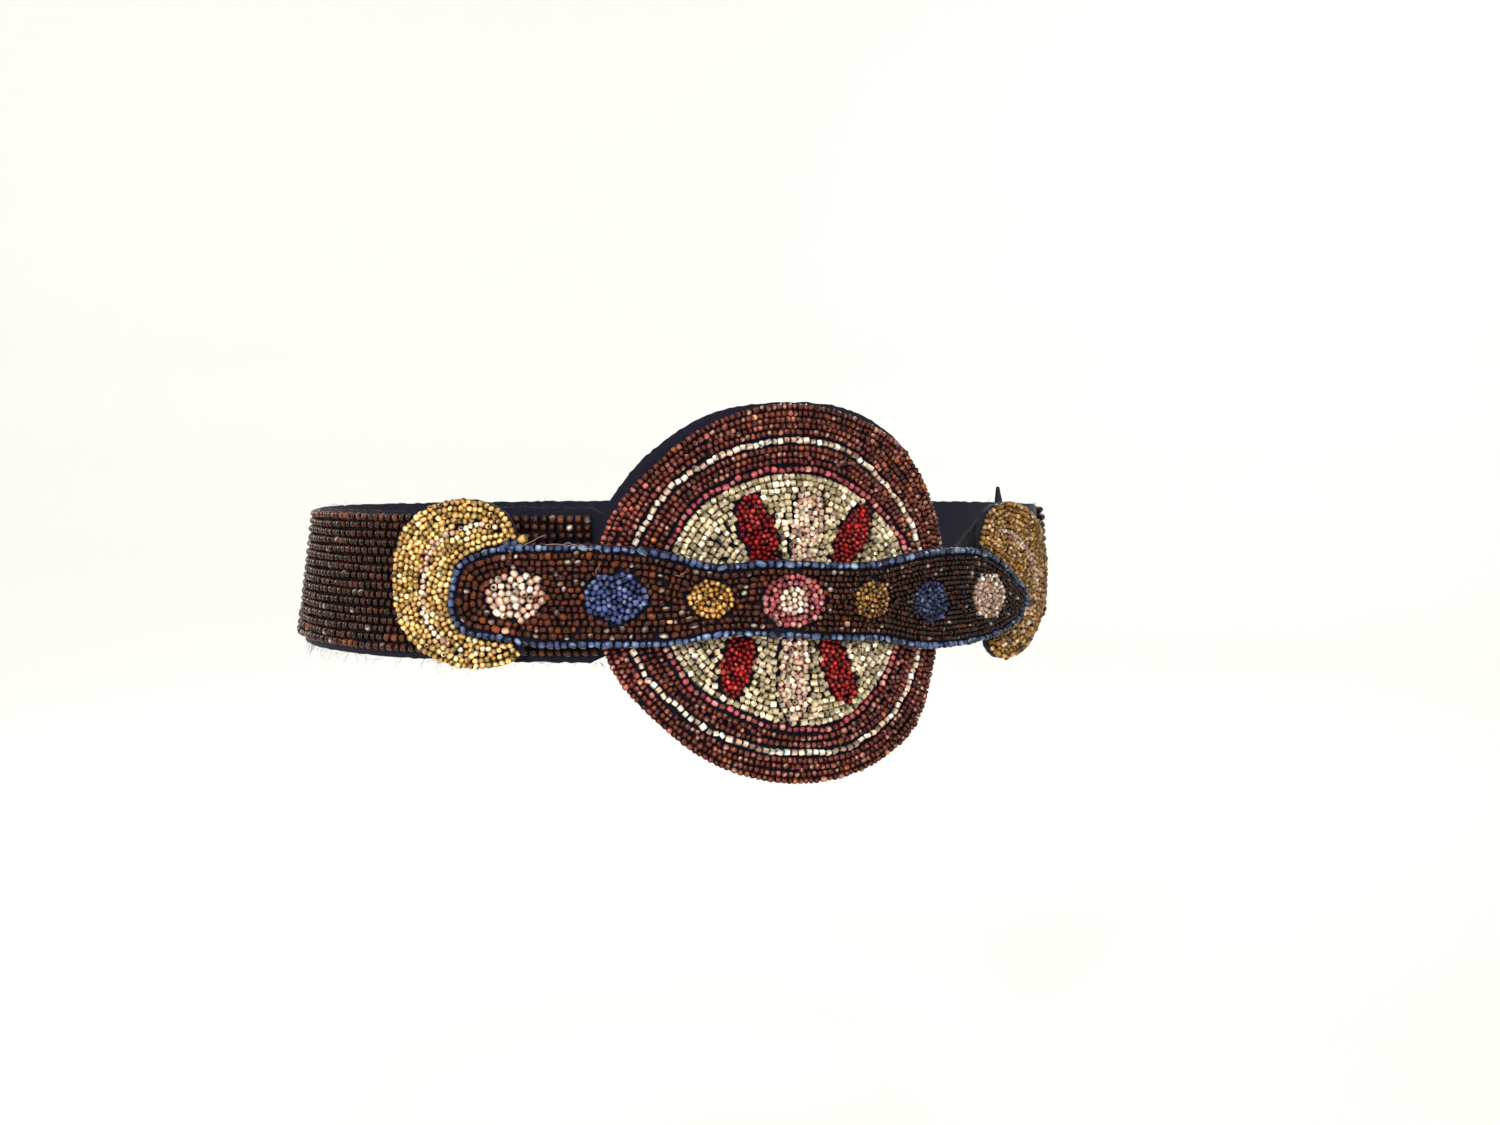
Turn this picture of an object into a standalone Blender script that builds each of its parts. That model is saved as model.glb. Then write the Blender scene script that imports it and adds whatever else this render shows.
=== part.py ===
"""A beaded belt: a band of bead rows, a round medallion, and a strap with two crescents across it.

Every piece is cut flat, as cloth is, and then laid round the waist. In the flat, u runs along the
belt from the middle of the front, positive to the viewer's right, and z runs up from the middle of
the band. The third measure, out, is the distance outwards from the waist.
"""
import math

import bmesh
import bpy
import numpy as np

# Waist: its length round, how oval, square and six-sided its outline is, and how far it leans out
# for each metre downwards at the front and back, the viewer's left and the viewer's right
LOOP_LENGTH = 0.640
WAIST_OVAL = -0.21
WAIST_SQUARE = 0.06
WAIST_SIX_SIDED = 0.03
FRONT_LEAN = 0.05
LEFT_LEAN = 0.13
RIGHT_LEAN = 0.03

# Layers
GAP = 0.0003
CLOTH = 0.0012
MEDALLION_CLOTH = 0.0015
BAND_BEAD = 0.0023
SMALL_BEAD = 0.0018

# Band
BAND_ROWS = 16
CLOTH_ABOVE = 0.0007
CLOTH_BELOW = 0.0020
FRONT_CLOTH_ABOVE = 0.0019
FRONT_CLOTH_REACH = 0.026
FRONT_CLOTH_STEP = 0.008
BAND_TUCK = 0.009
TUCK_SLANT = 0.010
BEAD_STOP = 0.0005
PEAK_HEIGHT = 0.0068
PEAK_WIDTH = 0.0085
TAPER_LENGTH = 0.021
TONGUE_HEIGHT = 0.018
TONGUE_LEVEL = -0.0045
END_SLANT = 0.038
END_DROP = 0.005

# Hook
HOOK_LENGTH = 0.013
HOOK_HEIGHT = 0.009
HOOK_WIRE = 0.0012
HOOK_LIP = 0.0055
HOOK_PLAY = 0.003

# Medallion
MEDALLION_RADIUS = 0.050
MEDALLION_LEVEL = -0.0026
CLOTH_MARGIN = 0.0024
WHITE_ROW = 0.0020
PINK_ROW = 0.0019

# Strap
STRAP_REACH = 0.086
STRAP_HEIGHT = 0.020
STRAP_LEVEL = -0.004
EDGING_ROW = 0.0019

# Crescents
CRESCENT_RADIUS = 0.024
CRESCENT_INSET = 0.008
LEFT_CRESCENT_LEVEL = 0.0
RIGHT_CRESCENT_LEVEL = -0.003

# Facets: strips that a whole turn of the waist has, and steps between two points of an outline
STRIPS = 100
STEPS = 3
SPOT_SIDES = 18

# Angle in degrees; then shares of the medallion's radius to the rim, to the middle of the white ring
# and to the middle of the pink ring; then the cloth beyond the rim as a share of its margin
MEDALLION_COLUMNS = ("angle", "rim", "white", "pink", "margin")
MEDALLION_ROWS = (
    (0.0, 1.01, 0.856, 0.756, 0.0),
    (22.5, 1.04, 0.844, 0.740, 0.0),
    (45.0, 1.06, 0.820, 0.690, 0.5),
    (67.5, 1.02, 0.830, 0.674, 0.7),
    (90.0, 1.00, 0.808, 0.658, 0.2),
    (112.5, 0.98, 0.800, 0.652, 0.9),
    (135.0, 0.965, 0.814, 0.668, 1.3),
    (157.5, 1.00, 0.820, 0.664, 0.8),
    (180.0, 0.99, 0.840, 0.680, 0.0),
    (202.5, 0.98, 0.842, 0.680, 0.0),
    (225.0, 0.94, 0.812, 0.686, 0.0),
    (247.5, 0.965, 0.810, 0.672, 0.0),
    (270.0, 1.00, 0.830, 0.712, 0.0),
    (292.5, 1.045, 0.890, 0.756, 0.0),
    (315.0, 1.08, 0.904, 0.735, 0.0),
    (337.5, 1.00, 0.870, 0.720, 0.0),
)

# Piece; foot and tip across and up from the medallion's middle, and width, as shares of its radius;
# and where along its length it is widest, as a power: 1 is the middle, more is nearer the tip
MOTIF_ROWS = (
    ("petal_upper", 0.075, 0.11, 0.14, 0.565, 0.18, 1.1),
    ("petal_lower", 0.035, -0.19, 0.015, -0.68, 0.165, 1.0),
    ("leaf_upper_left", -0.08, 0.11, -0.22, 0.525, 0.18, 1.15),
    ("leaf_upper_right", 0.26, 0.12, 0.47, 0.46, 0.17, 1.2),
    ("leaf_lower_left", -0.22, -0.17, -0.31, -0.53, 0.16, 1.15),
    ("leaf_lower_right", 0.195, -0.21, 0.335, -0.60, 0.15, 1.15),
)

# Share of the strap's reach along it; its upper and its lower edge as shares of its height, from
# its level
STRAP_ROWS = (
    (-0.985, 0.40, -0.27),
    (-0.94, 0.59, -0.445),
    (-0.84, 0.73, -0.51),
    (-0.72, 0.74, -0.59),
    (-0.58, 0.75, -0.58),
    (-0.40, 0.69, -0.58),
    (-0.30, 0.575, -0.54),
    (-0.21, 0.485, -0.46),
    (-0.10, 0.53, -0.46),
    (0.03, 0.515, -0.51),
    (0.20, 0.475, -0.57),
    (0.29, 0.49, -0.60),
    (0.40, 0.565, -0.715),
    (0.52, 0.62, -0.77),
    (0.68, 0.61, -0.755),
    (0.78, 0.51, -0.71),
    (0.86, 0.35, -0.63),
    (0.94, 0.10, -0.51),
    (0.985, -0.04, -0.33),
)
STRAP_LEFT_TIP = -0.02
STRAP_RIGHT_TIP = -0.17

# Piece; place along the strap as a share of its reach; level, half width and half height as shares
# of the strap's height
SPOT_ROWS = (
    ("pink_left", -0.795, 0.07, 0.38, 0.33),
    ("blue_left", -0.505, 0.07, 0.40, 0.32),
    ("gold_left", -0.235, 0.04, 0.29, 0.25),
    ("rose_ring", 0.002, 0.0, 0.41, 0.36),
    ("gold_right", 0.254, -0.03, 0.27, 0.26),
    ("blue_right", 0.484, -0.10, 0.32, 0.29),
    ("pink_right", 0.76, -0.10, 0.36, 0.33),
)
ROSE_CENTRE = 0.19

# Angle in degrees from the crescent's middle, anticlockwise, and share of the crescent's radius
LEFT_CRESCENT_ROWS = (
    (57.0, 0.68),
    (72.0, 0.82),
    (94.0, 0.93),
    (121.0, 1.04),
    (148.0, 1.11),
    (178.0, 1.04),
    (210.0, 1.02),
    (238.0, 0.955),
    (264.0, 0.91),
    (290.0, 0.90),
    (303.0, 0.84),
)
RIGHT_CRESCENT_ROWS = (
    (-122.0, 0.87),
    (-107.0, 0.94),
    (-85.0, 0.92),
    (-60.0, 0.92),
    (-35.0, 0.94),
    (-12.0, 1.03),
    (12.0, 1.10),
    (38.0, 1.09),
    (62.0, 1.02),
    (90.0, 1.00),
    (116.0, 0.98),
    (133.0, 0.82),
)
STRIPE_FROM = 0.40
STRIPE_TO = 0.53
STRIPE_END = 0.12

# Name, colour, roughness and metallic value
NAVY_CLOTH = ("navy_cloth", (0.012, 0.012, 0.035), 0.9, 0.0)
BROWN_BEADS = ("brown_beads", (0.045, 0.012, 0.006), 0.3, 0.0)
PLUM_BEADS = ("plum_beads", (0.18, 0.045, 0.05), 0.3, 0.0)
WHITE_BEADS = ("white_beads", (0.75, 0.68, 0.62), 0.25, 0.0)
ROSE_BEADS = ("rose_beads", (0.55, 0.12, 0.20), 0.3, 0.0)
SAGE_BEADS = ("sage_beads", (0.48, 0.46, 0.36), 0.3, 0.0)
PALE_PINK_BEADS = ("pale_pink_beads", (0.80, 0.52, 0.46), 0.3, 0.0)
RED_BEADS = ("red_beads", (0.28, 0.004, 0.010), 0.25, 0.0)
BLUE_BEADS = ("blue_beads", (0.02, 0.05, 0.22), 0.3, 0.0)
GOLD_BEADS = ("gold_beads", (0.42, 0.25, 0.06), 0.3, 0.0)
HOOK_METAL = ("hook_metal", (0.35, 0.34, 0.32), 0.35, 0.8)

# Distances out from the waist to the inner and the outer face of each layer
BAND_CLOTH_LAYER = (0.0, CLOTH)
BAND_BEAD_LAYER = (CLOTH + GAP, CLOTH + GAP + BAND_BEAD)
MEDALLION_CLOTH_LAYER = (CLOTH + GAP, CLOTH + GAP + MEDALLION_CLOTH)
MEDALLION_BEAD_LAYER = (
    MEDALLION_CLOTH_LAYER[1] + GAP,
    MEDALLION_CLOTH_LAYER[1] + GAP + SMALL_BEAD,
)
CRESCENT_CLOTH_LAYER = (BAND_BEAD_LAYER[1] + GAP, BAND_BEAD_LAYER[1] + GAP + CLOTH)
CRESCENT_BEAD_LAYER = (
    CRESCENT_CLOTH_LAYER[1] + GAP,
    CRESCENT_CLOTH_LAYER[1] + GAP + SMALL_BEAD,
)
STRAP_INSIDE = max(CRESCENT_CLOTH_LAYER[1], MEDALLION_BEAD_LAYER[1]) + GAP
STRAP_CLOTH_LAYER = (STRAP_INSIDE, STRAP_INSIDE + CLOTH)
STRAP_BEAD_LAYER = (
    STRAP_CLOTH_LAYER[1] + GAP,
    STRAP_CLOTH_LAYER[1] + GAP + SMALL_BEAD,
)

# Waist surface


def heading(u):
    """Direction of the waist line at u, as an angle from +X."""
    turn = 2 * math.pi * u / LOOP_LENGTH
    return (
        turn
        + WAIST_OVAL * np.sin(2 * turn)
        + WAIST_SQUARE * np.sin(4 * turn)
        + WAIST_SIX_SIDED * np.sin(6 * turn)
    )


def waist_line(samples=4000):
    """Arc lengths and points of the whole waist line, centred on the origin."""
    lengths = np.linspace(-LOOP_LENGTH / 2, LOOP_LENGTH / 2, samples + 1)
    step = LOOP_LENGTH / samples
    middles = (lengths[1:] + lengths[:-1]) / 2
    across = np.concatenate(([0.0], np.cumsum(np.cos(heading(middles)) * step)))
    back = np.concatenate(([0.0], np.cumsum(np.sin(heading(middles)) * step)))
    across -= np.interp(0.0, lengths, across)
    back -= (back.min() + back.max()) / 2
    return lengths, across, back


WAIST_LENGTHS, WAIST_ACROSS, WAIST_BACK = waist_line()


def lean(u):
    """How far the waist comes outwards for each metre downwards at u."""
    side = math.sin(2 * math.pi * u / LOOP_LENGTH)
    if side < 0:
        return FRONT_LEAN + (LEFT_LEAN - FRONT_LEAN) * side ** 2
    return FRONT_LEAN + (RIGHT_LEAN - FRONT_LEAN) * side ** 2


def on_waist(u, z, out):
    """Point in space of the flat point (u, z) at a distance out from the waist."""
    around = (u + LOOP_LENGTH / 2) % LOOP_LENGTH - LOOP_LENGTH / 2
    angle = heading(around)
    reach = out - lean(around) * z
    x = np.interp(around, WAIST_LENGTHS, WAIST_ACROSS) + reach * math.sin(angle)
    y = np.interp(around, WAIST_LENGTHS, WAIST_BACK) - reach * math.cos(angle)
    return (float(x), float(y), z)


# Flat outlines, each a list of (u, z) points that runs anticlockwise


def spline(points, closed=True, steps=STEPS):
    """Smooth line through the points, with this many steps from each point to the next."""
    count = len(points)
    line = []
    for index in range(count if closed else count - 1):
        if closed:
            a, b, c, d = (points[(index + shift) % count] for shift in (-1, 0, 1, 2))
        else:
            a, b, c, d = (points[min(max(index + shift, 0), count - 1)] for shift in (-1, 0, 1, 2))
        for step in range(steps):
            t = step / steps
            line.append(tuple(
                b[k] + t * (c[k] - a[k]) / 2
                + t * t * (a[k] - 2.5 * b[k] + 2 * c[k] - d[k] / 2)
                + t ** 3 * (1.5 * (b[k] - c[k]) + (d[k] - a[k]) / 2)
                for k in (0, 1)
            ))
    if not closed:
        line.append(points[-1])
    return line


def grow(outline, distance):
    """The outline moved outwards by a distance, or inwards where it is negative."""
    count = len(outline)
    grown = []
    for index, (u, z) in enumerate(outline):
        before = outline[index - 1]
        after = outline[(index + 1) % count]
        along = (after[0] - before[0], after[1] - before[1])
        length = math.hypot(*along)
        grown.append((u + distance * along[1] / length, z - distance * along[0] / length))
    return grown


def turned(centre, angle, radius):
    """The point at an angle in degrees and a radius from a centre."""
    a = math.radians(angle)
    return (centre[0] + radius * math.cos(a), centre[1] + radius * math.sin(a))


def ellipse(centre, half_width, half_height, sides=SPOT_SIDES):
    """An upright ellipse."""
    return [
        (
            centre[0] + half_width * math.cos(2 * math.pi * side / sides),
            centre[1] + half_height * math.sin(2 * math.pi * side / sides),
        )
        for side in range(sides)
    ]


def medallion_radius(row, column):
    """Radius of one of the medallion's rings at a row of its table."""
    return dict(zip(MEDALLION_COLUMNS, row))[column] * MEDALLION_RADIUS


def medallion_ring(column, shift=0.0, margin=False):
    """Ring of the medallion at a column of its table, moved outwards by shift."""
    points = []
    for row in MEDALLION_ROWS:
        radius = medallion_radius(row, column) + shift
        if margin:
            radius += row[-1] * CLOTH_MARGIN
        points.append(turned((0.0, MEDALLION_LEVEL), row[0], radius))
    return spline(points)


def medallion_side(angle):
    """How far the medallion's rim reaches from its middle at an angle of its table."""
    for row in MEDALLION_ROWS:
        if row[0] == angle:
            return medallion_radius(row, "rim")
    raise ValueError(f"the medallion's table has no angle {angle}")


def motif(foot, tip, width, widest, points=9):
    """A petal or leaf from its foot to its tip, with round ends."""
    length = math.hypot(tip[0] - foot[0], tip[1] - foot[1])
    along = ((tip[0] - foot[0]) / length, (tip[1] - foot[1]) / length)
    right = []
    left = []
    for index in range(points + 1):
        share = (1 - math.cos(math.pi * index / points)) / 2
        half = width / 2 * math.sqrt(max(0.0, 1 - abs(2 * share ** widest - 1) ** 2.3))
        middle = (foot[0] + along[0] * length * share, foot[1] + along[1] * length * share)
        right.append((middle[0] + along[1] * half, middle[1] - along[0] * half))
        left.append((middle[0] - along[1] * half, middle[1] + along[0] * half))
    return right[:-1] + left[:0:-1]


def motifs():
    """The outline of each petal and leaf by name."""
    outlines = {}
    for name, foot_u, foot_z, tip_u, tip_z, width, widest in MOTIF_ROWS:
        foot = (foot_u * MEDALLION_RADIUS, MEDALLION_LEVEL + foot_z * MEDALLION_RADIUS)
        tip = (tip_u * MEDALLION_RADIUS, MEDALLION_LEVEL + tip_z * MEDALLION_RADIUS)
        outlines[name] = motif(foot, tip, width * MEDALLION_RADIUS, widest)
    return outlines


def strap_point(along, level):
    """A flat point of the strap from its shares."""
    return (along * STRAP_REACH, STRAP_LEVEL + level * STRAP_HEIGHT)


def strap_outline():
    """The whole strap, along its lower edge and back along its upper edge."""
    lower = [strap_point(along, bottom) for along, _, bottom in STRAP_ROWS]
    upper = [strap_point(along, top) for along, top, _ in reversed(STRAP_ROWS)]
    tips = (strap_point(1.0, STRAP_RIGHT_TIP), strap_point(-1.0, STRAP_LEFT_TIP))
    return spline(lower + [tips[0]] + upper + [tips[1]], steps=2)


def spots():
    """The outline of each spot on the strap by name."""
    outlines = {}
    for name, along, level, half_width, half_height in SPOT_ROWS:
        centre = strap_point(along, level)
        outlines[name] = ellipse(centre, half_width * STRAP_HEIGHT, half_height * STRAP_HEIGHT)
    return outlines


def crescent_arc(centre, rows):
    """The outer edge of a crescent from one tip round to the other."""
    points = [turned(centre, angle, share * CRESCENT_RADIUS) for angle, share in rows]
    return spline(points, closed=False, steps=2)


def nearest(outline, point):
    """Index of the outline's point nearest to a point."""
    distances = [math.dist(place, point) for place in outline]
    return distances.index(min(distances))


def evenly(line, count):
    """The line again, with count points at even distances along it."""
    lengths = [0.0]
    for a, b in zip(line, line[1:]):
        lengths.append(lengths[-1] + math.dist(a, b))
    places = np.linspace(0.0, lengths[-1], count)
    us = np.interp(places, lengths, [point[0] for point in line])
    zs = np.interp(places, lengths, [point[1] for point in line])
    return [(float(u), float(z)) for u, z in zip(us, zs)]


def crescent_inside(arc, strap):
    """The edge of a crescent along the strap's end, from the arc's start to its end."""
    clear = grow(strap, GAP)
    start = nearest(clear, arc[0])
    end = nearest(clear, arc[-1])
    steps = (end - start) % len(clear)
    return [clear[(start + step) % len(clear)] for step in range(steps + 1)]


def between(inside, outside, share):
    """The line that lies a share of the way from one line to another."""
    return [
        (a[0] + share * (b[0] - a[0]), a[1] + share * (b[1] - a[1]))
        for a, b in zip(inside, outside)
    ]


def crescent_stripe(arc, inside, spare=0.0):
    """The pale stripe inside a crescent, made wider all round by spare."""
    count = 25
    outside_even = evenly(arc, count)
    inside_even = evenly(inside, count)
    first = round(STRIPE_END * count)
    near = between(inside_even, outside_even, STRIPE_FROM)[first:-first]
    far = between(inside_even, outside_even, STRIPE_TO)[first:-first]
    return grow(far + near[::-1], spare)


def band_span():
    """Where the band's cloth starts under the medallion and ends at the hook, as u going backwards."""
    start = BAND_TUCK - medallion_side(180.0)
    end = medallion_side(0.0) + HOOK_WIRE + HOOK_PLAY - LOOP_LENGTH
    return start, end


def band_face():
    """Half the height of the band's rows of beads."""
    return BAND_ROWS * BAND_BEAD / 2


def band_end():
    """Where the bead rows stop under the right crescent, as u going backwards."""
    return STRAP_REACH - CRESCENT_INSET + CRESCENT_RADIUS / 3 - LOOP_LENGTH


def band_cloth_outline():
    """The band's cloth, with its slanted left end, and its small peak and tongue at the right end."""
    start, end = band_span()
    full = band_end()
    taper = full - TAPER_LENGTH
    top = band_face() + CLOTH_ABOVE
    front_top = band_face() + FRONT_CLOTH_ABOVE
    bottom = -band_face() - CLOTH_BELOW
    shown = start - BAND_TUCK - FRONT_CLOTH_REACH
    upper = TONGUE_LEVEL + TONGUE_HEIGHT / 2
    lower = TONGUE_LEVEL - TONGUE_HEIGHT / 2
    return [
        (end, lower),
        (taper - TAPER_LENGTH / 6, lower),
        (taper + TAPER_LENGTH / 3, bottom),
        (start - TUCK_SLANT, bottom),
        (start, bottom + TUCK_SLANT / 2),
        (start, front_top - TUCK_SLANT / 2),
        (start - TUCK_SLANT, front_top),
        (shown, front_top),
        (shown - FRONT_CLOTH_STEP, top),
        (full + END_SLANT * 5 / 4, top),
        (full + END_SLANT / 4, top - END_DROP),
        (full, top - END_DROP),
        (full - PEAK_WIDTH / 20, top),
        (full - PEAK_WIDTH / 4, top + PEAK_HEIGHT * 0.45),
        (full - PEAK_WIDTH * 0.42, top + PEAK_HEIGHT),
        (full - PEAK_WIDTH / 2, top + PEAK_HEIGHT / 2),
        (full - PEAK_WIDTH * 0.68, top),
        (taper + TAPER_LENGTH / 2, top),
        (taper - TAPER_LENGTH / 4, upper + (top - upper) / 4),
        (taper - TAPER_LENGTH / 3, upper),
        (end, upper),
    ]


def band_bead_outline():
    """The band's rows of beads, which stop along the medallion's edge and taper at the other end."""
    half = band_face()
    blunt = band_end() + END_SLANT / 4
    full = blunt + END_SLANT
    edge = grow(medallion_ring("rim", margin=True), BEAD_STOP)
    stop = [point for point in edge if point[0] < 0 and abs(point[1]) < half * 0.93]
    left_corners = [(stop[-1][0], -half)] + stop[::-1] + [(stop[0][0], half)]
    right_end = [(full, half), (blunt, half / 3), (blunt, -half / 3)]
    return [(full, -half)] + left_corners + right_end


# Solids


def on_cut(edge):
    """Whether an edge of the flat sheet lies along a cut between two strips."""
    return abs(edge.verts[0].co.x - edge.verts[1].co.x) < LOOP_LENGTH / STRIPS / 500


def flat_mesh(outlines):
    """Flat sheet inside the first outline and outside the others, cut into strips along u."""
    sheet = bmesh.new()
    for outline in outlines:
        verts = [sheet.verts.new((u, z, 0.0)) for u, z in outline]
        for index, vert in enumerate(verts):
            sheet.edges.new((vert, verts[(index + 1) % len(verts)]))
    bmesh.ops.triangle_fill(sheet, use_beauty=True, edges=sheet.edges[:], normal=(0, 0, 1))
    strip = LOOP_LENGTH / STRIPS
    low = min(u for u, _ in outlines[0])
    high = max(u for u, _ in outlines[0])
    cuts = [index * strip for index in range(math.ceil(low / strip), math.floor(high / strip) + 1)]
    for cut in cuts:
        bmesh.ops.bisect_plane(
            sheet,
            geom=sheet.verts[:] + sheet.edges[:] + sheet.faces[:],
            dist=strip / 1000,
            plane_co=(cut, 0, 0),
            plane_no=(1, 0, 0),
        )
    across = [edge for edge in sheet.edges if not edge.is_boundary and not on_cut(edge)]
    bmesh.ops.dissolve_edges(sheet, edges=across, use_verts=False)
    spare = [
        vert for vert in sheet.verts
        if not vert.is_boundary and all(on_cut(edge) for edge in vert.link_edges)
    ]
    bmesh.ops.dissolve_verts(sheet, verts=spare)
    bmesh.ops.triangulate(sheet, faces=sheet.faces[:])
    bmesh.ops.recalc_face_normals(sheet, faces=sheet.faces[:])
    if sum(face.normal.z for face in sheet.faces) < 0:
        bmesh.ops.reverse_faces(sheet, faces=sheet.faces[:])
    return sheet


def laid_solid(outlines, layer):
    """Vertices and faces of the flat sheet laid round the waist, as thick as its layer."""
    sheet = flat_mesh(outlines)
    sheet.verts.index_update()
    count = len(sheet.verts)
    verts = [on_waist(vert.co.x, vert.co.y, layer[1]) for vert in sheet.verts]
    verts += [on_waist(vert.co.x, vert.co.y, layer[0]) for vert in sheet.verts]
    faces = []
    for face in sheet.faces:
        corners = [vert.index for vert in face.verts]
        faces.append(corners)
        faces.append([corner + count for corner in reversed(corners)])
        for loop in face.loops:
            if len(loop.edge.link_faces) == 1:
                a = loop.vert.index
                b = loop.link_loop_next.vert.index
                faces.append([b, a, a + count, b + count])
    sheet.free()
    return verts, faces


def hook_solid():
    """Flat hook behind the medallion's edge, whose lip holds the band's tongue."""
    _, tongue_end = band_span()
    bend = tongue_end + LOOP_LENGTH - GAP
    lip_in = CLOTH + GAP
    profile = [
        (bend - HOOK_LENGTH, 0.0),
        (bend, 0.0),
        (bend, lip_in),
        (bend + HOOK_LIP, lip_in),
        (bend + HOOK_LIP, lip_in + HOOK_WIRE),
        (bend - HOOK_WIRE, lip_in + HOOK_WIRE),
        (bend - HOOK_WIRE, HOOK_WIRE),
        (bend - HOOK_LENGTH, HOOK_WIRE),
    ]
    count = len(profile)
    low = TONGUE_LEVEL - HOOK_HEIGHT / 2
    high = TONGUE_LEVEL + HOOK_HEIGHT / 2
    verts = [on_waist(u, low, out) for u, out in profile]
    verts += [on_waist(u, high, out) for u, out in profile]
    faces = [list(range(count)), list(range(2 * count - 1, count - 1, -1))]
    for index in range(count):
        after = (index + 1) % count
        faces.append([index, index + count, after + count, after])
    return verts, faces


# Objects


def material(look):
    """The Principled material of a look, made once."""
    name, colour, roughness, metallic = look
    found = bpy.data.materials.get(name)
    if found:
        return found
    made = bpy.data.materials.new(name)
    made.use_nodes = True
    shader = made.node_tree.nodes["Principled BSDF"]
    shader.inputs["Base Color"].default_value = (*colour, 1.0)
    shader.inputs["Roughness"].default_value = roughness
    shader.inputs["Metallic"].default_value = metallic
    return made


def add_object(name, verts, faces, look):
    """One named object from vertices and faces."""
    mesh = bpy.data.meshes.new(name)
    mesh.from_pydata(verts, [], faces)
    body = bmesh.new()
    body.from_mesh(mesh)
    bmesh.ops.recalc_face_normals(body, faces=body.faces[:])
    body.to_mesh(mesh)
    body.free()
    mesh.materials.append(material(look))
    made = bpy.data.objects.new(name, mesh)
    bpy.context.scene.collection.objects.link(made)
    return made


def add_piece(name, outlines, layer, look):
    """One flat-cut piece laid round the waist."""
    add_object(name, *laid_solid(outlines, layer), look)


def add_band():
    """The band's cloth and its bead face, and the hook that closes it."""
    add_piece("band_cloth", [band_cloth_outline()], BAND_CLOTH_LAYER, NAVY_CLOTH)
    add_piece("band_beads", [band_bead_outline()], BAND_BEAD_LAYER, BROWN_BEADS)
    add_object("hook", *hook_solid(), HOOK_METAL)


def add_medallion():
    """The medallion's cloth, its rings from the rim inwards, its field, petals and leaves."""
    cloth = medallion_ring("rim", margin=True)
    add_piece("medallion_cloth", [cloth], MEDALLION_CLOTH_LAYER, NAVY_CLOTH)
    white = WHITE_ROW / 2
    pink = PINK_ROW / 2
    rings = (
        ("border_outer", ("rim", 0.0), ("white", white + GAP), PLUM_BEADS),
        ("white_ring", ("white", white), ("white", -white), WHITE_BEADS),
        ("border_inner", ("white", -white - GAP), ("pink", pink + GAP), PLUM_BEADS),
        ("pink_ring", ("pink", pink), ("pink", -pink), ROSE_BEADS),
    )
    for name, outside, inside, look in rings:
        outlines = [medallion_ring(*outside), medallion_ring(*inside)]
        add_piece(name, outlines, MEDALLION_BEAD_LAYER, look)
    inlays = motifs()
    field = [medallion_ring("pink", -pink - GAP)] + [grow(inlay, GAP) for inlay in inlays.values()]
    add_piece("field", field, MEDALLION_BEAD_LAYER, SAGE_BEADS)
    for name, inlay in inlays.items():
        look = PALE_PINK_BEADS if name.startswith("petal") else RED_BEADS
        add_piece(name, [inlay], MEDALLION_BEAD_LAYER, look)


def add_strap():
    """The strap's cloth, its blue edging, its brown ground and its spots."""
    outline = strap_outline()
    add_piece("strap_cloth", [outline], STRAP_CLOTH_LAYER, NAVY_CLOTH)
    edging = [outline, grow(outline, -EDGING_ROW)]
    add_piece("strap_edging", edging, STRAP_BEAD_LAYER, BLUE_BEADS)
    dots = spots()
    ground = [grow(outline, -EDGING_ROW - GAP)] + [grow(dot, GAP) for dot in dots.values()]
    add_piece("strap_beads", ground, STRAP_BEAD_LAYER, BROWN_BEADS)
    looks = {"pink": PALE_PINK_BEADS, "blue": BLUE_BEADS, "gold": GOLD_BEADS, "rose": ROSE_BEADS}
    heart_size = ROSE_CENTRE * STRAP_HEIGHT
    heart = strap_point(SPOT_ROWS[3][1], SPOT_ROWS[3][2])
    for name, dot in dots.items():
        outlines = [dot]
        if name == "rose_ring":
            outlines.append(ellipse(heart, heart_size + GAP, heart_size + GAP))
        add_piece(name, outlines, STRAP_BEAD_LAYER, looks[name.split("_")[0]])
    add_piece("rose_centre", [ellipse(heart, heart_size, heart_size)], STRAP_BEAD_LAYER, WHITE_BEADS)


def add_crescent(side, centre, rows):
    """A crescent's cloth, which runs on under the strap, its beads and its stripe."""
    arc = crescent_arc(centre, rows)
    inside = crescent_inside(arc, strap_outline())
    add_piece(f"crescent_{side}_cloth", [arc], CRESCENT_CLOTH_LAYER, NAVY_CLOTH)
    beads = [arc + inside[::-1], crescent_stripe(arc, inside, GAP)]
    add_piece(f"crescent_{side}_beads", beads, CRESCENT_BEAD_LAYER, GOLD_BEADS)
    stripe = [crescent_stripe(arc, inside)]
    add_piece(f"crescent_{side}_stripe", stripe, CRESCENT_BEAD_LAYER, PALE_PINK_BEADS)


def build():
    """The whole belt."""
    for old in list(bpy.data.objects):
        bpy.data.objects.remove(old, do_unlink=True)
    add_band()
    add_medallion()
    add_strap()
    middle = STRAP_REACH - CRESCENT_INSET
    add_crescent("left", (-middle, LEFT_CRESCENT_LEVEL), LEFT_CRESCENT_ROWS)
    add_crescent("right", (middle, RIGHT_CRESCENT_LEVEL), RIGHT_CRESCENT_ROWS)


build()
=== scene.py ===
"""The looks of a beaded belt: seed beads sewn in rows on dark navy cloth.

Every piece is worked out flat, as it was sewn, and then laid round the waist. In the flat, u runs
along the belt from the middle of the front, positive to the viewer's right, and z runs up from the
middle of the band. The third measure, out, is the distance outwards from the waist. The flat
outlines and the layers are read from the frame's own nodes.
"""

import math

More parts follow.
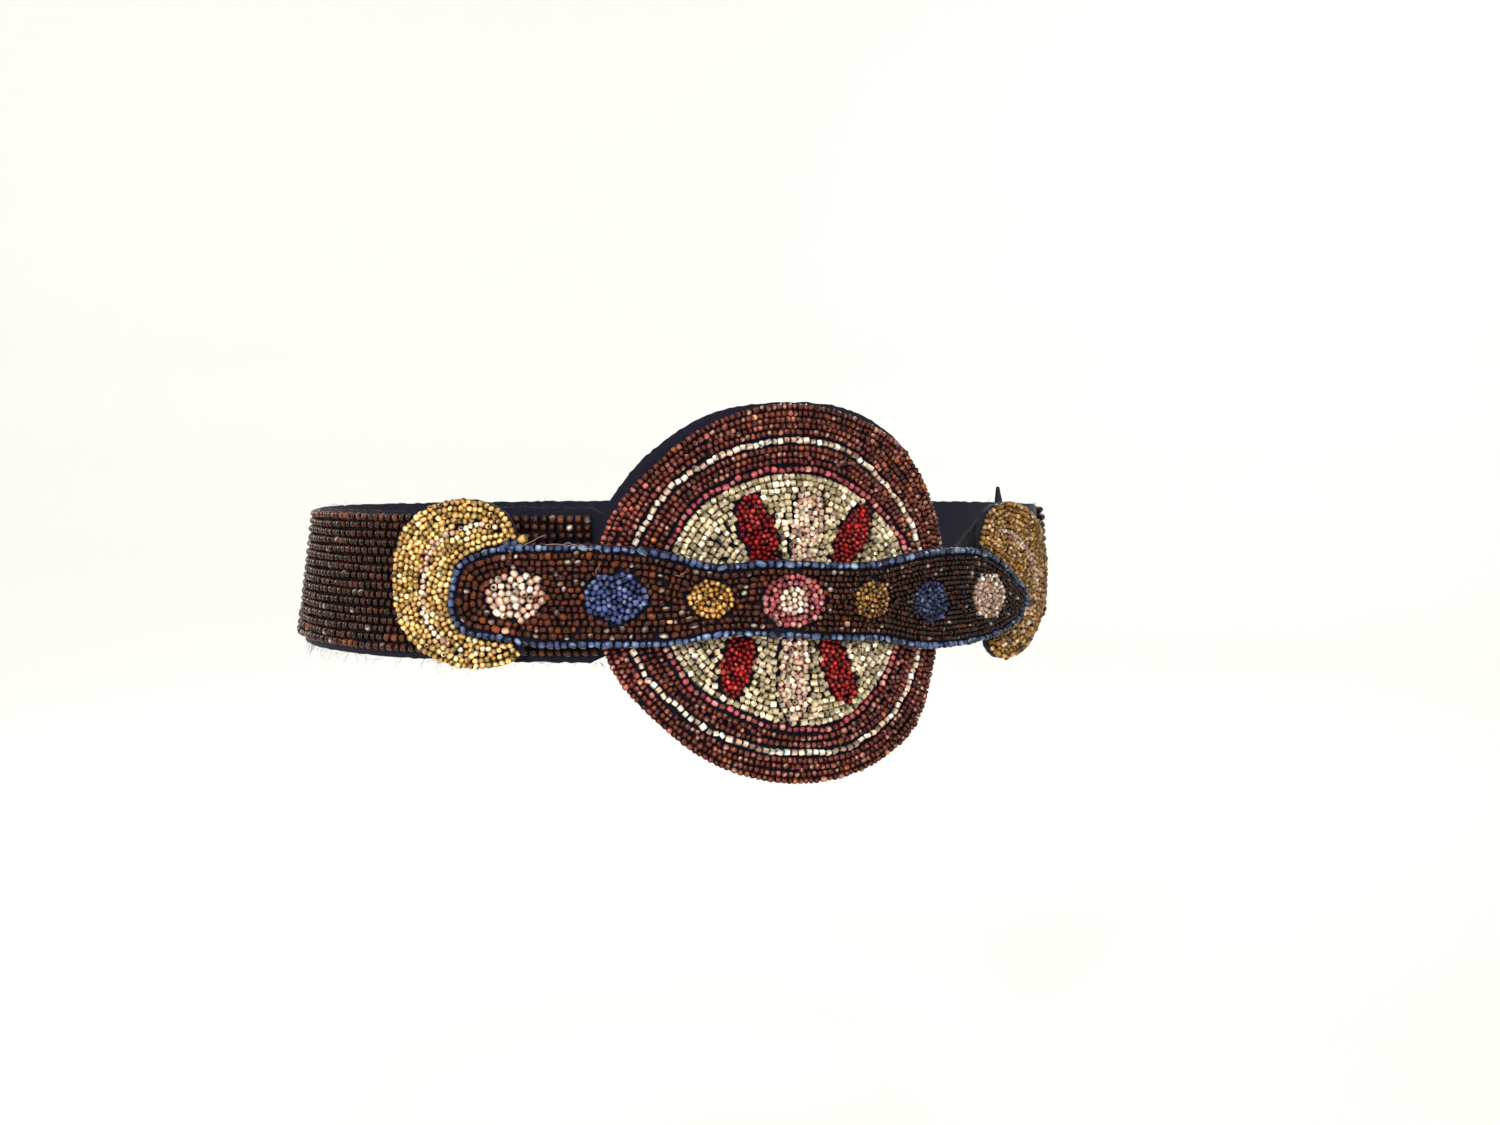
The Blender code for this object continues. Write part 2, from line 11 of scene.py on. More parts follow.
import bmesh
import bpy
import numpy as np
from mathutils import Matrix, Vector


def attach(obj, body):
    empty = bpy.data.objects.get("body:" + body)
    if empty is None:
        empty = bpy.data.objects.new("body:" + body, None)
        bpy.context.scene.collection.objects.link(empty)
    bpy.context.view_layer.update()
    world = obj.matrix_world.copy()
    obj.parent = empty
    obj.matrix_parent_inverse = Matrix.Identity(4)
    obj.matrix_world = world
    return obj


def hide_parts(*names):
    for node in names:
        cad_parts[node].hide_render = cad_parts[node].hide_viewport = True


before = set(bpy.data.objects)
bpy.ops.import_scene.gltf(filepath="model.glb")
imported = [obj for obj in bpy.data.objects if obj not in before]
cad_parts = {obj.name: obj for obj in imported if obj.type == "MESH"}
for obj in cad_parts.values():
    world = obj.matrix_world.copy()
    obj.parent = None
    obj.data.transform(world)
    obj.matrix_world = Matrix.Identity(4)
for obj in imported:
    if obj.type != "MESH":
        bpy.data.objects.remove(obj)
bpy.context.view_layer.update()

# Waist: the same line as the solids follow, its leans, and the steps that it is worked out in
LOOP_LENGTH = 0.640
WAIST_OVAL = -0.21
WAIST_SQUARE = 0.06
WAIST_SIX_SIDED = 0.03
FRONT_LEAN = 0.05
LEFT_LEAN = 0.13
RIGHT_LEAN = 0.03
WAIST_STEPS = 4000

# Where a layer's inner and outer faces are read among its vertices
LAYER_PERCENTILES = (5, 95)

# Beads: the share of a row's height that a bead is thick, the share of its pitch that it is long,
# its sides, and its shape from end to end as shares of its length and of its radius
BEAD_FILL = 1.02
BEAD_LENGTH_SHARE = 0.95
CUT_LENGTH_SHARE = 0.86
BEAD_SIDES = 8
ROUND_PROFILE = ((-0.5, 0.42), (-0.40, 0.83), (0.0, 1.0), (0.40, 0.83), (0.5, 0.42))
CUT_PROFILE = ((-0.5, 0.40), (-0.49, 0.93), (0.0, 1.0), (0.49, 0.93), (0.5, 0.40))

# How far a bead's place in its layer varies, as a share of its radius, and how deep in the layer
# its middle lies at the least, as a share of its thickness
BEAD_LIFT = 0.10
BEAD_SEAT = 0.42

# A bead's colour, with painted light: its painted dark side and what its painted bright side adds,
# the radius of its hole and the painted shade there, how far its bright side may turn, its clouds,
# the weakest and strongest painted glint, and how far along the bead a glint fades and to what
PAINTED_DARK_SIDE = 0.62
PAINTED_BRIGHT_SIDE = 0.95
HOLE_RADIUS = 0.42
PAINTED_HOLE_SHADE = 0.40
PAINTED_BRIGHT_TURN = 1.3
CLOUDING = 0.35
PAINTED_GLINT_STRENGTH = (0.25, 0.8)
PAINTED_GLINT_REACH = 0.4
PAINTED_GLINT_LEFT = 0.15

# Packing, as shares of a row's height: the room kept to the edges and to beads that are there
# already, and how much nearer to its outline than planned a row may come
EDGE_ROOM = 0.34
AROUND_ROOM = 0.86
ROW_SLACK = 0.10

# The most rows from a rim inwards, and the least length of a row as a share of its pitch
MOST_ROWS = 14
SHORTEST_RUN = 0.6

# Packing, as shares of the least bead size: how near the first rows, the first fill and the last
# fill may lie, and how far the beads are pushed apart
ROW_APART = 0.78
FIRST_FILL = 0.70
LAST_FILL = 0.80
RELAX_APART = 0.92

# Places tried for more beads, how much those turn from the nearest one, and the share of the pitch
# that they are long
FILL_TRIES = 6000
FILL_TURN = 0.5
FILL_LENGTH = 0.9

# Pushing apart: how often neighbours are found, and pushed each time; how far off one counts, as a
# share of the distance wanted; how near the edge a bead is tested and how far it may move at once,
# as shares of a row's height
RELAX_SWEEPS = 3
RELAX_ROUNDS = 6
RELAX_REACH = 1.8
RELAX_EDGE = 1.2
RELAX_STEP = 0.2

# Outlines: the distance of their points, how often they are softened, the least length of a wave
# of a ragged one and how many waves it has
OUTLINE_STEP = 0.00012
OUTLINE_SOFTENINGS = 6
RAGGED_STEP = 0.0004
RAGGED_WAVE = 0.0030
RAGGED_WAVES = 7

# Level rows: the distance of their points, how far they sway as a share of their height, how
# closely their waves lie and how far each row's waves are shifted from the last row's
LEVEL_STEP = 0.0004
LEVEL_SWAY = 0.05
LEVEL_WAVES = 130
LEVEL_SHIFT = 2.1

# Rings of one row: their points, how many waves they have and how far each wave moves them
RING_POINTS = 1440
RING_WAVES = 5
RING_SWAY = 0.00012

# Shares of rusty beads in the band's top row and low rows, and of peach beads round the right
# crescent's stripe, with how far those reach from it
TOP_RUST = 0.75
LOW_RUST = 0.25
PEACH_SHARE = 0.22
PEACH_REACH = 0.0045

# No beads, with the columns that an array of beads has
NO_BEADS = np.zeros((0, 4))

# Places along the belt and the painted light there: how much lighter or darker the beads are
# painted
LEVEL_LIGHT = ((0.0,), (1.0,))
BORDER_PAINTED_LIGHT = ((-0.050, -0.030), (2.0, 1.0))
EDGING_PAINTED_LIGHT = ((-0.02, 0.08), (1.1, 0.65))
GROUND_PAINTED_LIGHT = ((-0.08, 0.0, 0.03, 0.06), (1.15, 0.85, 0.48, 0.24))

# Colours of the brightest painted glints, the painted highlights on the beads
WHITE_PAINTED_GLINT = (0.92, 0.88, 0.82)
COPPER_PAINTED_GLINT = (0.85, 0.53, 0.41)
RED_PAINTED_GLINT = (0.85, 0.16, 0.10)
BLUE_PAINTED_GLINT = (0.45, 0.60, 0.85)
GOLD_PAINTED_GLINT = (0.95, 0.85, 0.60)

# Rows of beads: how many the band has, the height of a row, the room along it for each bead, and,
# where those are set apart, a bead's thickness and the share of its length that it keeps
BAND_ROWS = 16
BAND_ROW = 0.0023
BAND_PITCH = 0.0023
BAND_BEAD = BAND_ROW * 0.99
BAND_BEAD_SHARE = 0.84
BORDER_ROW = 0.00168
BORDER_PITCH = 0.00152
RING_PITCH = 0.00185
RING_BEAD = 0.00160
RING_BEAD_SHARE = 0.95
FIELD_ROW = 0.00172
FIELD_PITCH = 0.00165
LEAF_ROW = 0.00148
PETAL_ROW = 0.00158
EDGING_PITCH = 0.00200
EDGING_BEAD = 0.00180
CRESCENT_ROW = 0.00160
CRESCENT_PITCH = 0.00165

# Where the band's beads are parted into two pieces
BAND_SPLIT = -LOOP_LENGTH * 0.45

# Place along the strap, and the height of its rows of beads there
STRAP_SIZES = (
    (-0.090, 0.00182), (-0.045, 0.00172), (0.000, 0.00160), (0.035, 0.00140), (0.090, 0.00132),
)

# The strap's stretched plane: how far it reaches to each side, its points and the unit that it is
# packed in
STRETCH_REACH = 0.12
STRETCH_POINTS = 2401
STRETCH_UNIT = 0.0016

# Missing beads of the left crescent: u, z and radius
MISSING_BEADS = (-0.1011, -0.0121, 0.0013)

# Loose threads: u, z, the angle they set off at, their length and how much they curl
PALE_THREADS = (
    (-0.0675, 0.0104, 0.05, 0.0070, 0.20), (-0.0610, 0.0108, -0.10, 0.0060, 0.25),
    (-0.0560, 0.0106, 0.10, 0.0045, 0.35), (-0.0520, 0.0102, 0.0, 0.0060, 0.25),
    (-0.0480, 0.0035, 1.4, 0.0035, 0.70), (-0.0705, 0.0095, -0.5, 0.0030, 0.60),
    (-0.0290, 0.0030, 0.3, 0.0035, 0.50),
)
DARK_THREADS = (
    (0.0558, 0.0085, 1.75, 0.0042, 0.25), (0.0566, 0.0085, 1.30, 0.0028, 0.30),
    (0.0538, 0.0088, 1.10, 0.0022, 0.40), (0.0720, 0.0070, 1.60, 0.0016, 0.40),
)

# Hairs on the band's upper edge, left of the medallion: how many, and their u, z and length
UPPER_HAIRS = (260, (-0.0735, -0.0490), (0.0185, 0.0200), (0.0005, 0.0020))

# Ravelled edges of the band's cloth: from u, to u, z, up or down, number of hairs and their length
FLUFF_ROWS = (
    (-0.155, -0.075, -0.0202, -1, 60, 0.0035),
    (-0.073, -0.042, -0.0202, -1, 30, 0.0015),
    (-0.155, -0.075, 0.0188, 1, 24, 0.0014),
    (-0.520, -0.180, 0.0188, 1, 90, 0.0012),
    (-0.520, -0.180, -0.0202, -1, 90, 0.0016),
)

# Radii of hairs, fluff and loose threads, the share that is left at a tip, and their sides
HAIR_RADIUS = 0.00005
FLUFF_RADIUS = HAIR_RADIUS * 0.8
DARK_THREAD_RADIUS = HAIR_RADIUS * 1.6
PALE_THREAD_RADIUS = HAIR_RADIUS * 1.4
HAIR_TIP = 0.3
HAIR_SIDES = 3

# Cloth: how deep its faces wave, as a share of its thickness, and the least angle of a sharp edge
CLOTH_WAVE = 0.06
CLOTH_EDGE = math.radians(50)

# Camera and stage
CAMERA_PLACE = (-0.1249, -0.4342, 0.0285)
CAMERA_AHEAD = (0.3168, 0.9464, -0.0625)
CAMERA_LENS = 33.36
SENSOR_WIDTH = 36.0
WORLD_STRENGTH = 0.80
FLOOR_LEVEL = -0.30
FLOOR_SIDES = 96

# Radius of the floor's rings and their height above it
STAGE_PROFILE = (
    (0.8, 0.0), (1.5, 0.0), (1.8, 0.015), (2.1, 0.07), (2.4, 0.18), (2.7, 0.36), (2.9, 0.60),
    (3.0, 0.95), (3.05, 1.5), (3.05, 2.4),
)

# Lamp, its place, what it points at, size, power and colour
LAMPS = (
    ("key", (-0.85, -1.20, 0.60), (0.0, 0.0, 0.0), 0.16, 12.0, (1.0, 0.96, 0.88)),
    ("right", (0.80, -1.20, 0.40), (0.0, 0.0, 0.0), 0.14, 2.0, (1.0, 0.97, 0.93)),
    ("top", (-0.20, -1.00, 1.05), (0.0, 0.0, 0.0), 0.20, 5.0, (1.0, 0.97, 0.90)),
    ("low", (-0.35, -1.35, 0.00), (0.0, 0.0, 0.0), 0.12, 3.5, (1.0, 0.96, 0.89)),
    ("back_right", (0.70, 1.20, 0.70), (0.0, 0.0, 0.0), 0.30, 6.0, (1.0, 0.98, 0.94)),
    ("back_left", (-1.00, 1.00, 0.50), (0.0, 0.0, 0.0), 0.28, 5.0, (1.0, 0.98, 0.94)),
    ("backdrop_left", (-0.50, 1.30, 1.30), (0.10, 2.90, 0.30), 0.80, 9.5, (0.93, 0.97, 1.0)),
    ("backdrop_right", (1.30, 1.00, 1.30), (1.90, 2.40, 0.30), 0.80, 9.5, (0.93, 0.97, 1.0)),
)


def heading(u):
    """Direction of the waist line at u, as an angle from +X."""
    turn = math.tau * u / LOOP_LENGTH
    return (
        turn
        + WAIST_OVAL * np.sin(2 * turn)
        + WAIST_SQUARE * np.sin(4 * turn)
        + WAIST_SIX_SIDED * np.sin(6 * turn)
    )


def summed(steps):
    """Running sums of steps, from 0."""
    return np.concatenate(([0.0], np.cumsum(steps)))


def waist_line():
    """Arc lengths and points of the whole waist line, centred on the origin."""
    lengths = np.linspace(-LOOP_LENGTH / 2, LOOP_LENGTH / 2, WAIST_STEPS + 1)
    step = LOOP_LENGTH / WAIST_STEPS
    middles = (lengths[1:] + lengths[:-1]) / 2
    across = summed(np.cos(heading(middles)) * step)
    back = summed(np.sin(heading(middles)) * step)
    across -= np.interp(0.0, lengths, across)
    back -= (back.min() + back.max()) / 2
    return lengths, across, back


WAIST_LENGTHS, WAIST_ACROSS, WAIST_BACK = waist_line()


def lean(u):
    """How far the waist comes outwards for each metre downwards at u."""
    side = np.sin(math.tau * u / LOOP_LENGTH)
    end = np.where(side < 0, LEFT_LEAN, RIGHT_LEAN)
    return FRONT_LEAN + (end - FRONT_LEAN) * side ** 2


def wrapped(u):
    """The same place on the loop, from minus half a turn to half a turn."""
    return (u + LOOP_LENGTH / 2) % LOOP_LENGTH - LOOP_LENGTH / 2


def lay(u, z, out):
    """Points in space of flat points at a distance out from the waist."""
    around = wrapped(np.asarray(u, float))
    angle = heading(around)
    reach = out - lean(around) * z
    x = np.interp(around, WAIST_LENGTHS, WAIST_ACROSS) + reach * np.sin(angle)
    y = np.interp(around, WAIST_LENGTHS, WAIST_BACK) - reach * np.cos(angle)
    return np.stack([x, y, np.broadcast_to(z, x.shape)], axis=-1)


def directions(u):
    """Unit vectors along the belt, up its face and out of its face at u."""
    angle = heading(wrapped(np.asarray(u, float)))
    flat = np.zeros_like(angle)
    along = np.stack([np.cos(angle), np.sin(angle), flat], axis=-1)
    level = np.stack([np.sin(angle), -np.cos(angle), flat], axis=-1)
    up = -lean(wrapped(u))[..., None] * level + np.array([0.0, 0.0, 1.0])
    up /= np.linalg.norm(up, axis=-1, keepdims=True)
    return along, up, np.cross(along, up)


def flatten(points):
    """The flat measures u, z and out of points in space."""
    line = np.stack([WAIST_ACROSS, WAIST_BACK], axis=-1)
    away = points[:, None, :2] - line[None, :, :]
    near = np.argmin((away ** 2).sum(-1), axis=1)
    angle = heading(WAIST_LENGTHS[near])
    offset = points[:, :2] - line[near]
    u = WAIST_LENGTHS[near] + offset[:, 0] * np.cos(angle) + offset[:, 1] * np.sin(angle)
    reach = offset[:, 0] * np.sin(angle) - offset[:, 1] * np.cos(angle)
    return u, points[:, 2], reach + lean(u) * points[:, 2]


def cut_piece(node_name):
    """A node's flat outlines, its rim first and then its holes, and its layer's two outs."""
    body = bmesh.new()
    body.from_mesh(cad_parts[node_name].data)
    bmesh.ops.remove_doubles(body, verts=body.verts[:], dist=1e-6)
    body.verts.index_update()
    u, z, out = flatten(np.array([vert.co[:] for vert in body.verts]))
    if node_name.startswith("band"):
        u = np.where(u > 0, u - LOOP_LENGTH, u)
    inner, outer = (float(np.percentile(out, share)) for share in LAYER_PERCENTILES)
    is_outer = out > (inner + outer) / 2
    after = {}
    for face in body.faces:
        if not all(is_outer[vert.index] for vert in face.verts):
            continue
        for loop in face.loops:
            others = [other for other in loop.edge.link_faces if other is not face]
            if not all(is_outer[vert.index] for other in others for vert in other.verts):
                after[loop.vert.index] = loop.link_loop_next.vert.index
    outlines = []
    while after:
        start, place = next(iter(after.items()))
        chain = [start]
        del after[start]
        while place != start:
            chain.append(place)
            place = after.pop(place)
        outlines.append(np.stack([u[chain], z[chain]], axis=-1))
    body.free()
    outlines.sort(key=lambda outline: -abs(area(outline)))
    return outlines, (inner, outer)


def area(outline):
    """Signed area inside a closed outline."""
    x, y = outline[:, 0], outline[:, 1]
    return float(np.sum(x * np.roll(y, -1) - np.roll(x, -1) * y) / 2)


# Flat geometry


def points_at(line, lengths, places):
    """Points of a line at places given as lengths along it."""
    return np.stack([np.interp(places, lengths, line[:, k]) for k in (0, 1)], axis=-1)


def even_path(outline, count):
    """The closed outline again with count points at even distances."""
    line = np.vstack([outline, outline[:1]])
    lengths = summed(np.linalg.norm(np.diff(line, axis=0), axis=1))
    return points_at(line, lengths, np.linspace(0.0, lengths[-1], count + 1)[:-1])


def waves(turns, fewest, most, count, rng):
    """The sum of waves round a closed line, each with its own whole number of turns."""
    return sum(
        np.sin(turns * rng.integers(fewest, most) + rng.uniform(0, math.tau))
        for _ in range(count)
    )


def ragged(outline, depth, rng):
    """The outline moved in and out by up to a depth, as beads sewn by hand leave it."""
    line = dense(outline, RAGGED_STEP)
    turns = np.linspace(0, math.tau, len(line), endpoint=False)
    finest = max(8, int(path_length(outline) / RAGGED_WAVE))
    sway = waves(turns, fewest=4, most=finest + 4, count=RAGGED_WAVES, rng=rng)
    sway *= depth / np.abs(sway).max()
    return line + inward(line) * sway[:, None]


def path_length(outline, closed=True):
    """Length of a line."""
    line = np.vstack([outline, outline[:1]]) if closed else np.asarray(outline)
    return float(np.linalg.norm(np.diff(line, axis=0), axis=1).sum())


def dense(outline, step=OUTLINE_STEP):
    """A closed outline with a point at every step, softened at its corners."""
    count = max(24, int(path_length(outline) / step))
    line = even_path(outline, count)
    for _ in range(OUTLINE_SOFTENINGS):
        line = (np.roll(line, 1, axis=0) + 2 * line + np.roll(line, -1, axis=0)) / 4
    return line


def inward(line):
    """Unit directions that point to the left of a closed line, which is inwards when it runs
    anticlockwise."""
    along = np.roll(line, -3, axis=0) - np.roll(line, 3, axis=0)
    along /= np.linalg.norm(along, axis=1, keepdims=True)
    return np.stack([-along[:, 1], along[:, 0]], axis=-1)


def edge_distance(points, outlines):
    """Distance from each point to the nearest edge of the outlines."""
    best = np.full(len(points), np.inf)
    for outline in outlines:
        a, b = outline, np.roll(outline, -1, axis=0)
        run = b - a
        size = (run ** 2).sum(1) + 1e-18
        for low in range(0, len(points), 2000):
            part = points[low:low + 2000]
            share = ((part[:, None] - a) * run).sum(-1) / size
            foot = a + np.clip(share, 0, 1)[..., None] * run
            away = np.linalg.norm(part[:, None] - foot, axis=-1).min(1)
            best[low:low + 2000] = np.minimum(best[low:low + 2000], away)
    return best


def inside(points, outlines):
    """Whether each point is inside the first outline and outside the others."""
    within = np.zeros(len(points), bool)
    for outline in outlines:
        a, b = outline, np.roll(outline, -1, axis=0)
        spans = (a[:, 1] > points[:, None, 1]) != (b[:, 1] > points[:, None, 1])
        rise = b[:, 1] - a[:, 1]
        rise = np.where(np.abs(rise) < 1e-15, 1e-15, rise)
        cross = a[:, 0] + (points[:, None, 1] - a[:, 1]) / rise * (b[:, 0] - a[:, 0])
        within ^= (np.sum(spans & (points[:, None, 0] < cross), axis=1) % 2).astype(bool)
    return within


# Rows of beads: each is an array with columns u, z, the angle of the thread and the bead's length


def threaded(line, closed, pitch, rng, uneven=0.10):
    """Beads strung along a line at about a pitch, each with its own length."""
    length = path_length(line, closed)
    count = max(1, int(round(length / pitch)))
    line = np.vstack([line, line[:1]]) if closed else np.asarray(line)
    lengths = summed(np.linalg.norm(np.diff(line, axis=0), axis=1))
    longs = np.exp(rng.normal(0.0, uneven, count))
    longs *= length / longs.sum()
    places = np.cumsum(longs) - longs / 2
    reach = longs / 3
    middle, ahead, behind = (
        points_at(line, lengths, at) for at in (places, places + reach, places - reach)
    )
    run = ahead - behind
    return np.column_stack([middle, np.arctan2(run[:, 1], run[:, 0]), longs])


def join(rows):
    """Several arrays of beads as one."""
    rows = [row for row in rows if len(row)]
    return np.vstack(rows) if rows else NO_BEADS


def apart(beads, least, around):
    """The beads without those nearer than a distance to an earlier one or to those around."""
    places = np.vstack([around[:, :2], np.zeros((len(beads), 2))])
    full = len(around)
    kept = []
    for bead in beads:
        if full == 0 or ((places[:full] - bead[:2]) ** 2).sum(1).min() >= least ** 2:
            places[full] = bead[:2]
            full += 1
            kept.append(bead)
    return np.array(kept).reshape(-1, 4)


def ring_row(outer, inner, pitch, rng, middle):
    """A row of beads halfway between two rings round a middle."""
    turns = np.linspace(-math.pi, math.pi, RING_POINTS + 1)[:-1]

    def radii(ring):
        ring = dense(ring)
        angle = np.arctan2(ring[:, 1] - middle[1], ring[:, 0] - middle[0])
        order = np.argsort(angle)
        radius = np.hypot(ring[:, 0] - middle[0], ring[:, 1] - middle[1])
        return np.interp(turns, angle[order], radius[order], period=math.tau)

    far, near = radii(outer), radii(inner)
    sway = waves(turns, fewest=3, most=40, count=RING_WAVES, rng=rng) * RING_SWAY
    radius = far + (near - far) / 2 + sway
    line = middle + np.stack([radius * np.cos(turns), radius * np.sin(turns)], axis=-1)
    return threaded(np.roll(line, rng.integers(RING_POINTS), axis=0), True, pitch, rng)


def runs(valid):
    """Stretches of a closed line whose points are valid, and whether that is the whole line."""
    count = len(valid)
    if valid.all():
        return [np.arange(count)], True
    start = int(np.argmin(valid))
    order = np.roll(np.arange(count), -start)
    flags = valid[order]
    edges = np.flatnonzero(np.diff(np.concatenate(([0], flags.astype(int), [0]))))
    return [order[a:b] for a, b in zip(edges[::2], edges[1::2])], False


def packed_rows(outlines, row, pitch, rng, around, uneven=0.12):
    """Rows that follow the outlines inwards until the piece is full, round beads already there."""
    around = NO_BEADS if around is None else around
    found = []
    for depth in range(MOST_ROWS):
        offset = (depth + 0.5) * row
        for outline in outlines:
            line = dense(outline)
            shifted = line + inward(line) * offset
            valid = inside(shifted, outlines) & (edge_distance(shifted, outlines) > EDGE_ROOM * row)
            valid &= edge_distance(shifted, [outline]) > offset - ROW_SLACK * row
            if len(around):
                valid &= nearest_distance(shifted, around) > AROUND_ROOM * row
            stretches, closed = runs(valid)
            for stretch in stretches:
                if path_length(shifted[stretch], closed) > SHORTEST_RUN * pitch:
                    found.append(threaded(shifted[stretch], closed, pitch, rng, uneven))
    short = min(row, pitch)
    beads = apart(join(found), ROW_APART * short, around)
    beads = filled(beads, outlines, row, pitch, FIRST_FILL * short, around, rng)
    beads = relaxed(beads, outlines, row, RELAX_APART * short, around)
    return filled(beads, outlines, row, pitch, LAST_FILL * short, around, rng)


def nearest_distance(points, beads):
    """Distance from each point to the nearest bead."""
    away = np.empty(len(points))
    for low in range(0, len(points), 2000):
        part = points[low:low + 2000]
        away[low:low + 2000] = np.linalg.norm(part[:, None] - beads[None, :, :2], axis=-1).min(1)
    return away


def filled(beads, outlines, row, pitch, least, around, rng):
    """The beads, with more wherever one still fits."""
    places = rng.uniform(outlines[0].min(0), outlines[0].max(0), (FILL_TRIES, 2))
    full = len(beads) + len(around)
    everyone = np.vstack([beads, around, np.zeros((FILL_TRIES, 4))])
    if full:
        places = places[nearest_distance(places, everyone[:full]) >= least]
    places = places[inside(places, outlines)]
    places = places[edge_distance(places, outlines) > EDGE_ROOM * row]
    added = []
    for place in places:
        away = ((everyone[:full, :2] - place) ** 2).sum(1) if full else np.array([1.0])
        if away.min() >= least ** 2:
            turn = everyone[int(np.argmin(away)), 2] if full else 0.0
            turn += rng.normal(0.0, FILL_TURN)
            everyone[full] = (*place, turn, pitch * FILL_LENGTH)
            added.append(everyone[full].copy())
            full += 1
    return join([beads, np.array(added).reshape(-1, 4)])


def relaxed(beads, outlines, row, least, around):
    """The beads nudged apart until they lie evenly, without leaving their outlines."""
    beads = beads.copy()
    count = len(beads)
    for _ in range(RELAX_SWEEPS):
        everyone = np.vstack([beads[:, :2], around[:, :2]])
        away = np.linalg.norm(beads[:, None, :2] - everyone[None], axis=-1)
        away[np.arange(count), np.arange(count)] = np.inf
        first, second = np.nonzero(away < RELAX_REACH * least)
        near_edge = edge_distance(beads[:, :2], outlines) < RELAX_EDGE * row
        for _ in range(RELAX_ROUNDS):
            everyone[:count] = beads[:, :2]
            gap = everyone[first] - everyone[second]
            apart_by = np.linalg.norm(gap, axis=1)
            push = np.clip(least - apart_by, 0.0, None) / (apart_by + 1e-9) * 0.5
            step = np.zeros((count, 2))
            np.add.at(step, first, gap * push[:, None])
            most = RELAX_STEP * row
            moved = beads[:, :2] + np.clip(step, -most, most)
            good = np.ones(count, bool)
            held = moved[near_edge]
            good[near_edge] = inside(held, outlines) & (
                edge_distance(held, outlines) > EDGE_ROOM * row)
            beads[good, :2] = moved[good]
    return beads


def level_rows(outlines, row, count, pitch, rng):
    """Straight rows along u from the lowest one up, cut at the outlines."""
    low, high = outlines[0][:, 0].min(), outlines[0][:, 0].max()
    us = np.arange(low, high, LEVEL_STEP)
    rows = []
    for index in range(count):
        z = (index - (count - 1) / 2) * row
        sway = row * LEVEL_SWAY * np.sin(us * LEVEL_WAVES + index * LEVEL_SHIFT)
        line = np.column_stack([us, z + sway])
        line = line[inside(np.column_stack([us, np.full(len(us), z)]), outlines)]
        rows.append(threaded(line, False, pitch, rng))
    return join(rows)


# Meshes


def bead_form(profile):
    """One bead: its vertices as shares along its axis, sideways and up, and its faces."""
    verts = []
    for along, radius in profile:
        for side in range(BEAD_SIDES):
            turn = math.tau * side / BEAD_SIDES
            verts.append((along, radius * math.cos(turn), radius * math.sin(turn)))
    faces = []
    rings = len(profile)
    for ring in range(rings):
        after = (ring + 1) % rings
        for side in range(BEAD_SIDES):
            beside = (side + 1) % BEAD_SIDES
            faces.append((
                ring * BEAD_SIDES + side,
                ring * BEAD_SIDES + beside,
                after * BEAD_SIDES + beside,
                after * BEAD_SIDES + side,
            ))
    return np.array(verts), np.array(faces)[:, ::-1]


def quick_mesh(name, verts, faces, smooth):
    """A mesh from an array of vertices and one of faces with equal numbers of corners."""
    mesh = bpy.data.meshes.new(name)
    mesh.vertices.add(len(verts))
    mesh.vertices.foreach_set("co", np.asarray(verts, np.float32).ravel())
    corners = faces.shape[1]
    mesh.loops.add(faces.size)
    mesh.loops.foreach_set("vertex_index", faces.astype(np.int32).ravel())
    mesh.polygons.add(len(faces))
    mesh.polygons.foreach_set("loop_start", np.arange(0, faces.size, corners, dtype=np.int32))
    mesh.update(calc_edges=True)
    mesh.polygons.foreach_set("use_smooth", np.full(len(faces), smooth))
    mesh.validate()
    return mesh


def smooth_mesh(name, verts, faces):
    """A smooth mesh from lists of vertices and faces."""
    mesh = bpy.data.meshes.new(name)
    mesh.from_pydata(verts, [], faces)
    mesh.polygons.foreach_set("use_smooth", np.ones(len(faces), bool))
    mesh.update()
    return mesh


def linked(name, data):
    """A new object in the scene."""
    made = bpy.data.objects.new(name, data)
    bpy.context.scene.collection.objects.link(made)
    return made


def add_object(name, mesh, look, nodes):
    """An object of the belt that stands for CAD nodes."""
    made = linked(name, mesh)
    mesh.materials.append(look)
    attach(made, "root")
    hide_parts(*nodes)
    return made


def picked(palette, count, rng, spread=0.22):
    """A colour for each bead: shares of a palette, each lighter or darker by up to a spread."""
    shares = np.array([entry[0] for entry in palette], float)
    colours = np.array([entry[1] for entry in palette])
    chosen = colours[rng.choice(len(palette), count, p=shares / shares.sum())]
    light = np.exp(rng.normal(0.0, spread, (count, 1)))
    return np.clip(chosen * light, 0.0, 1.0)


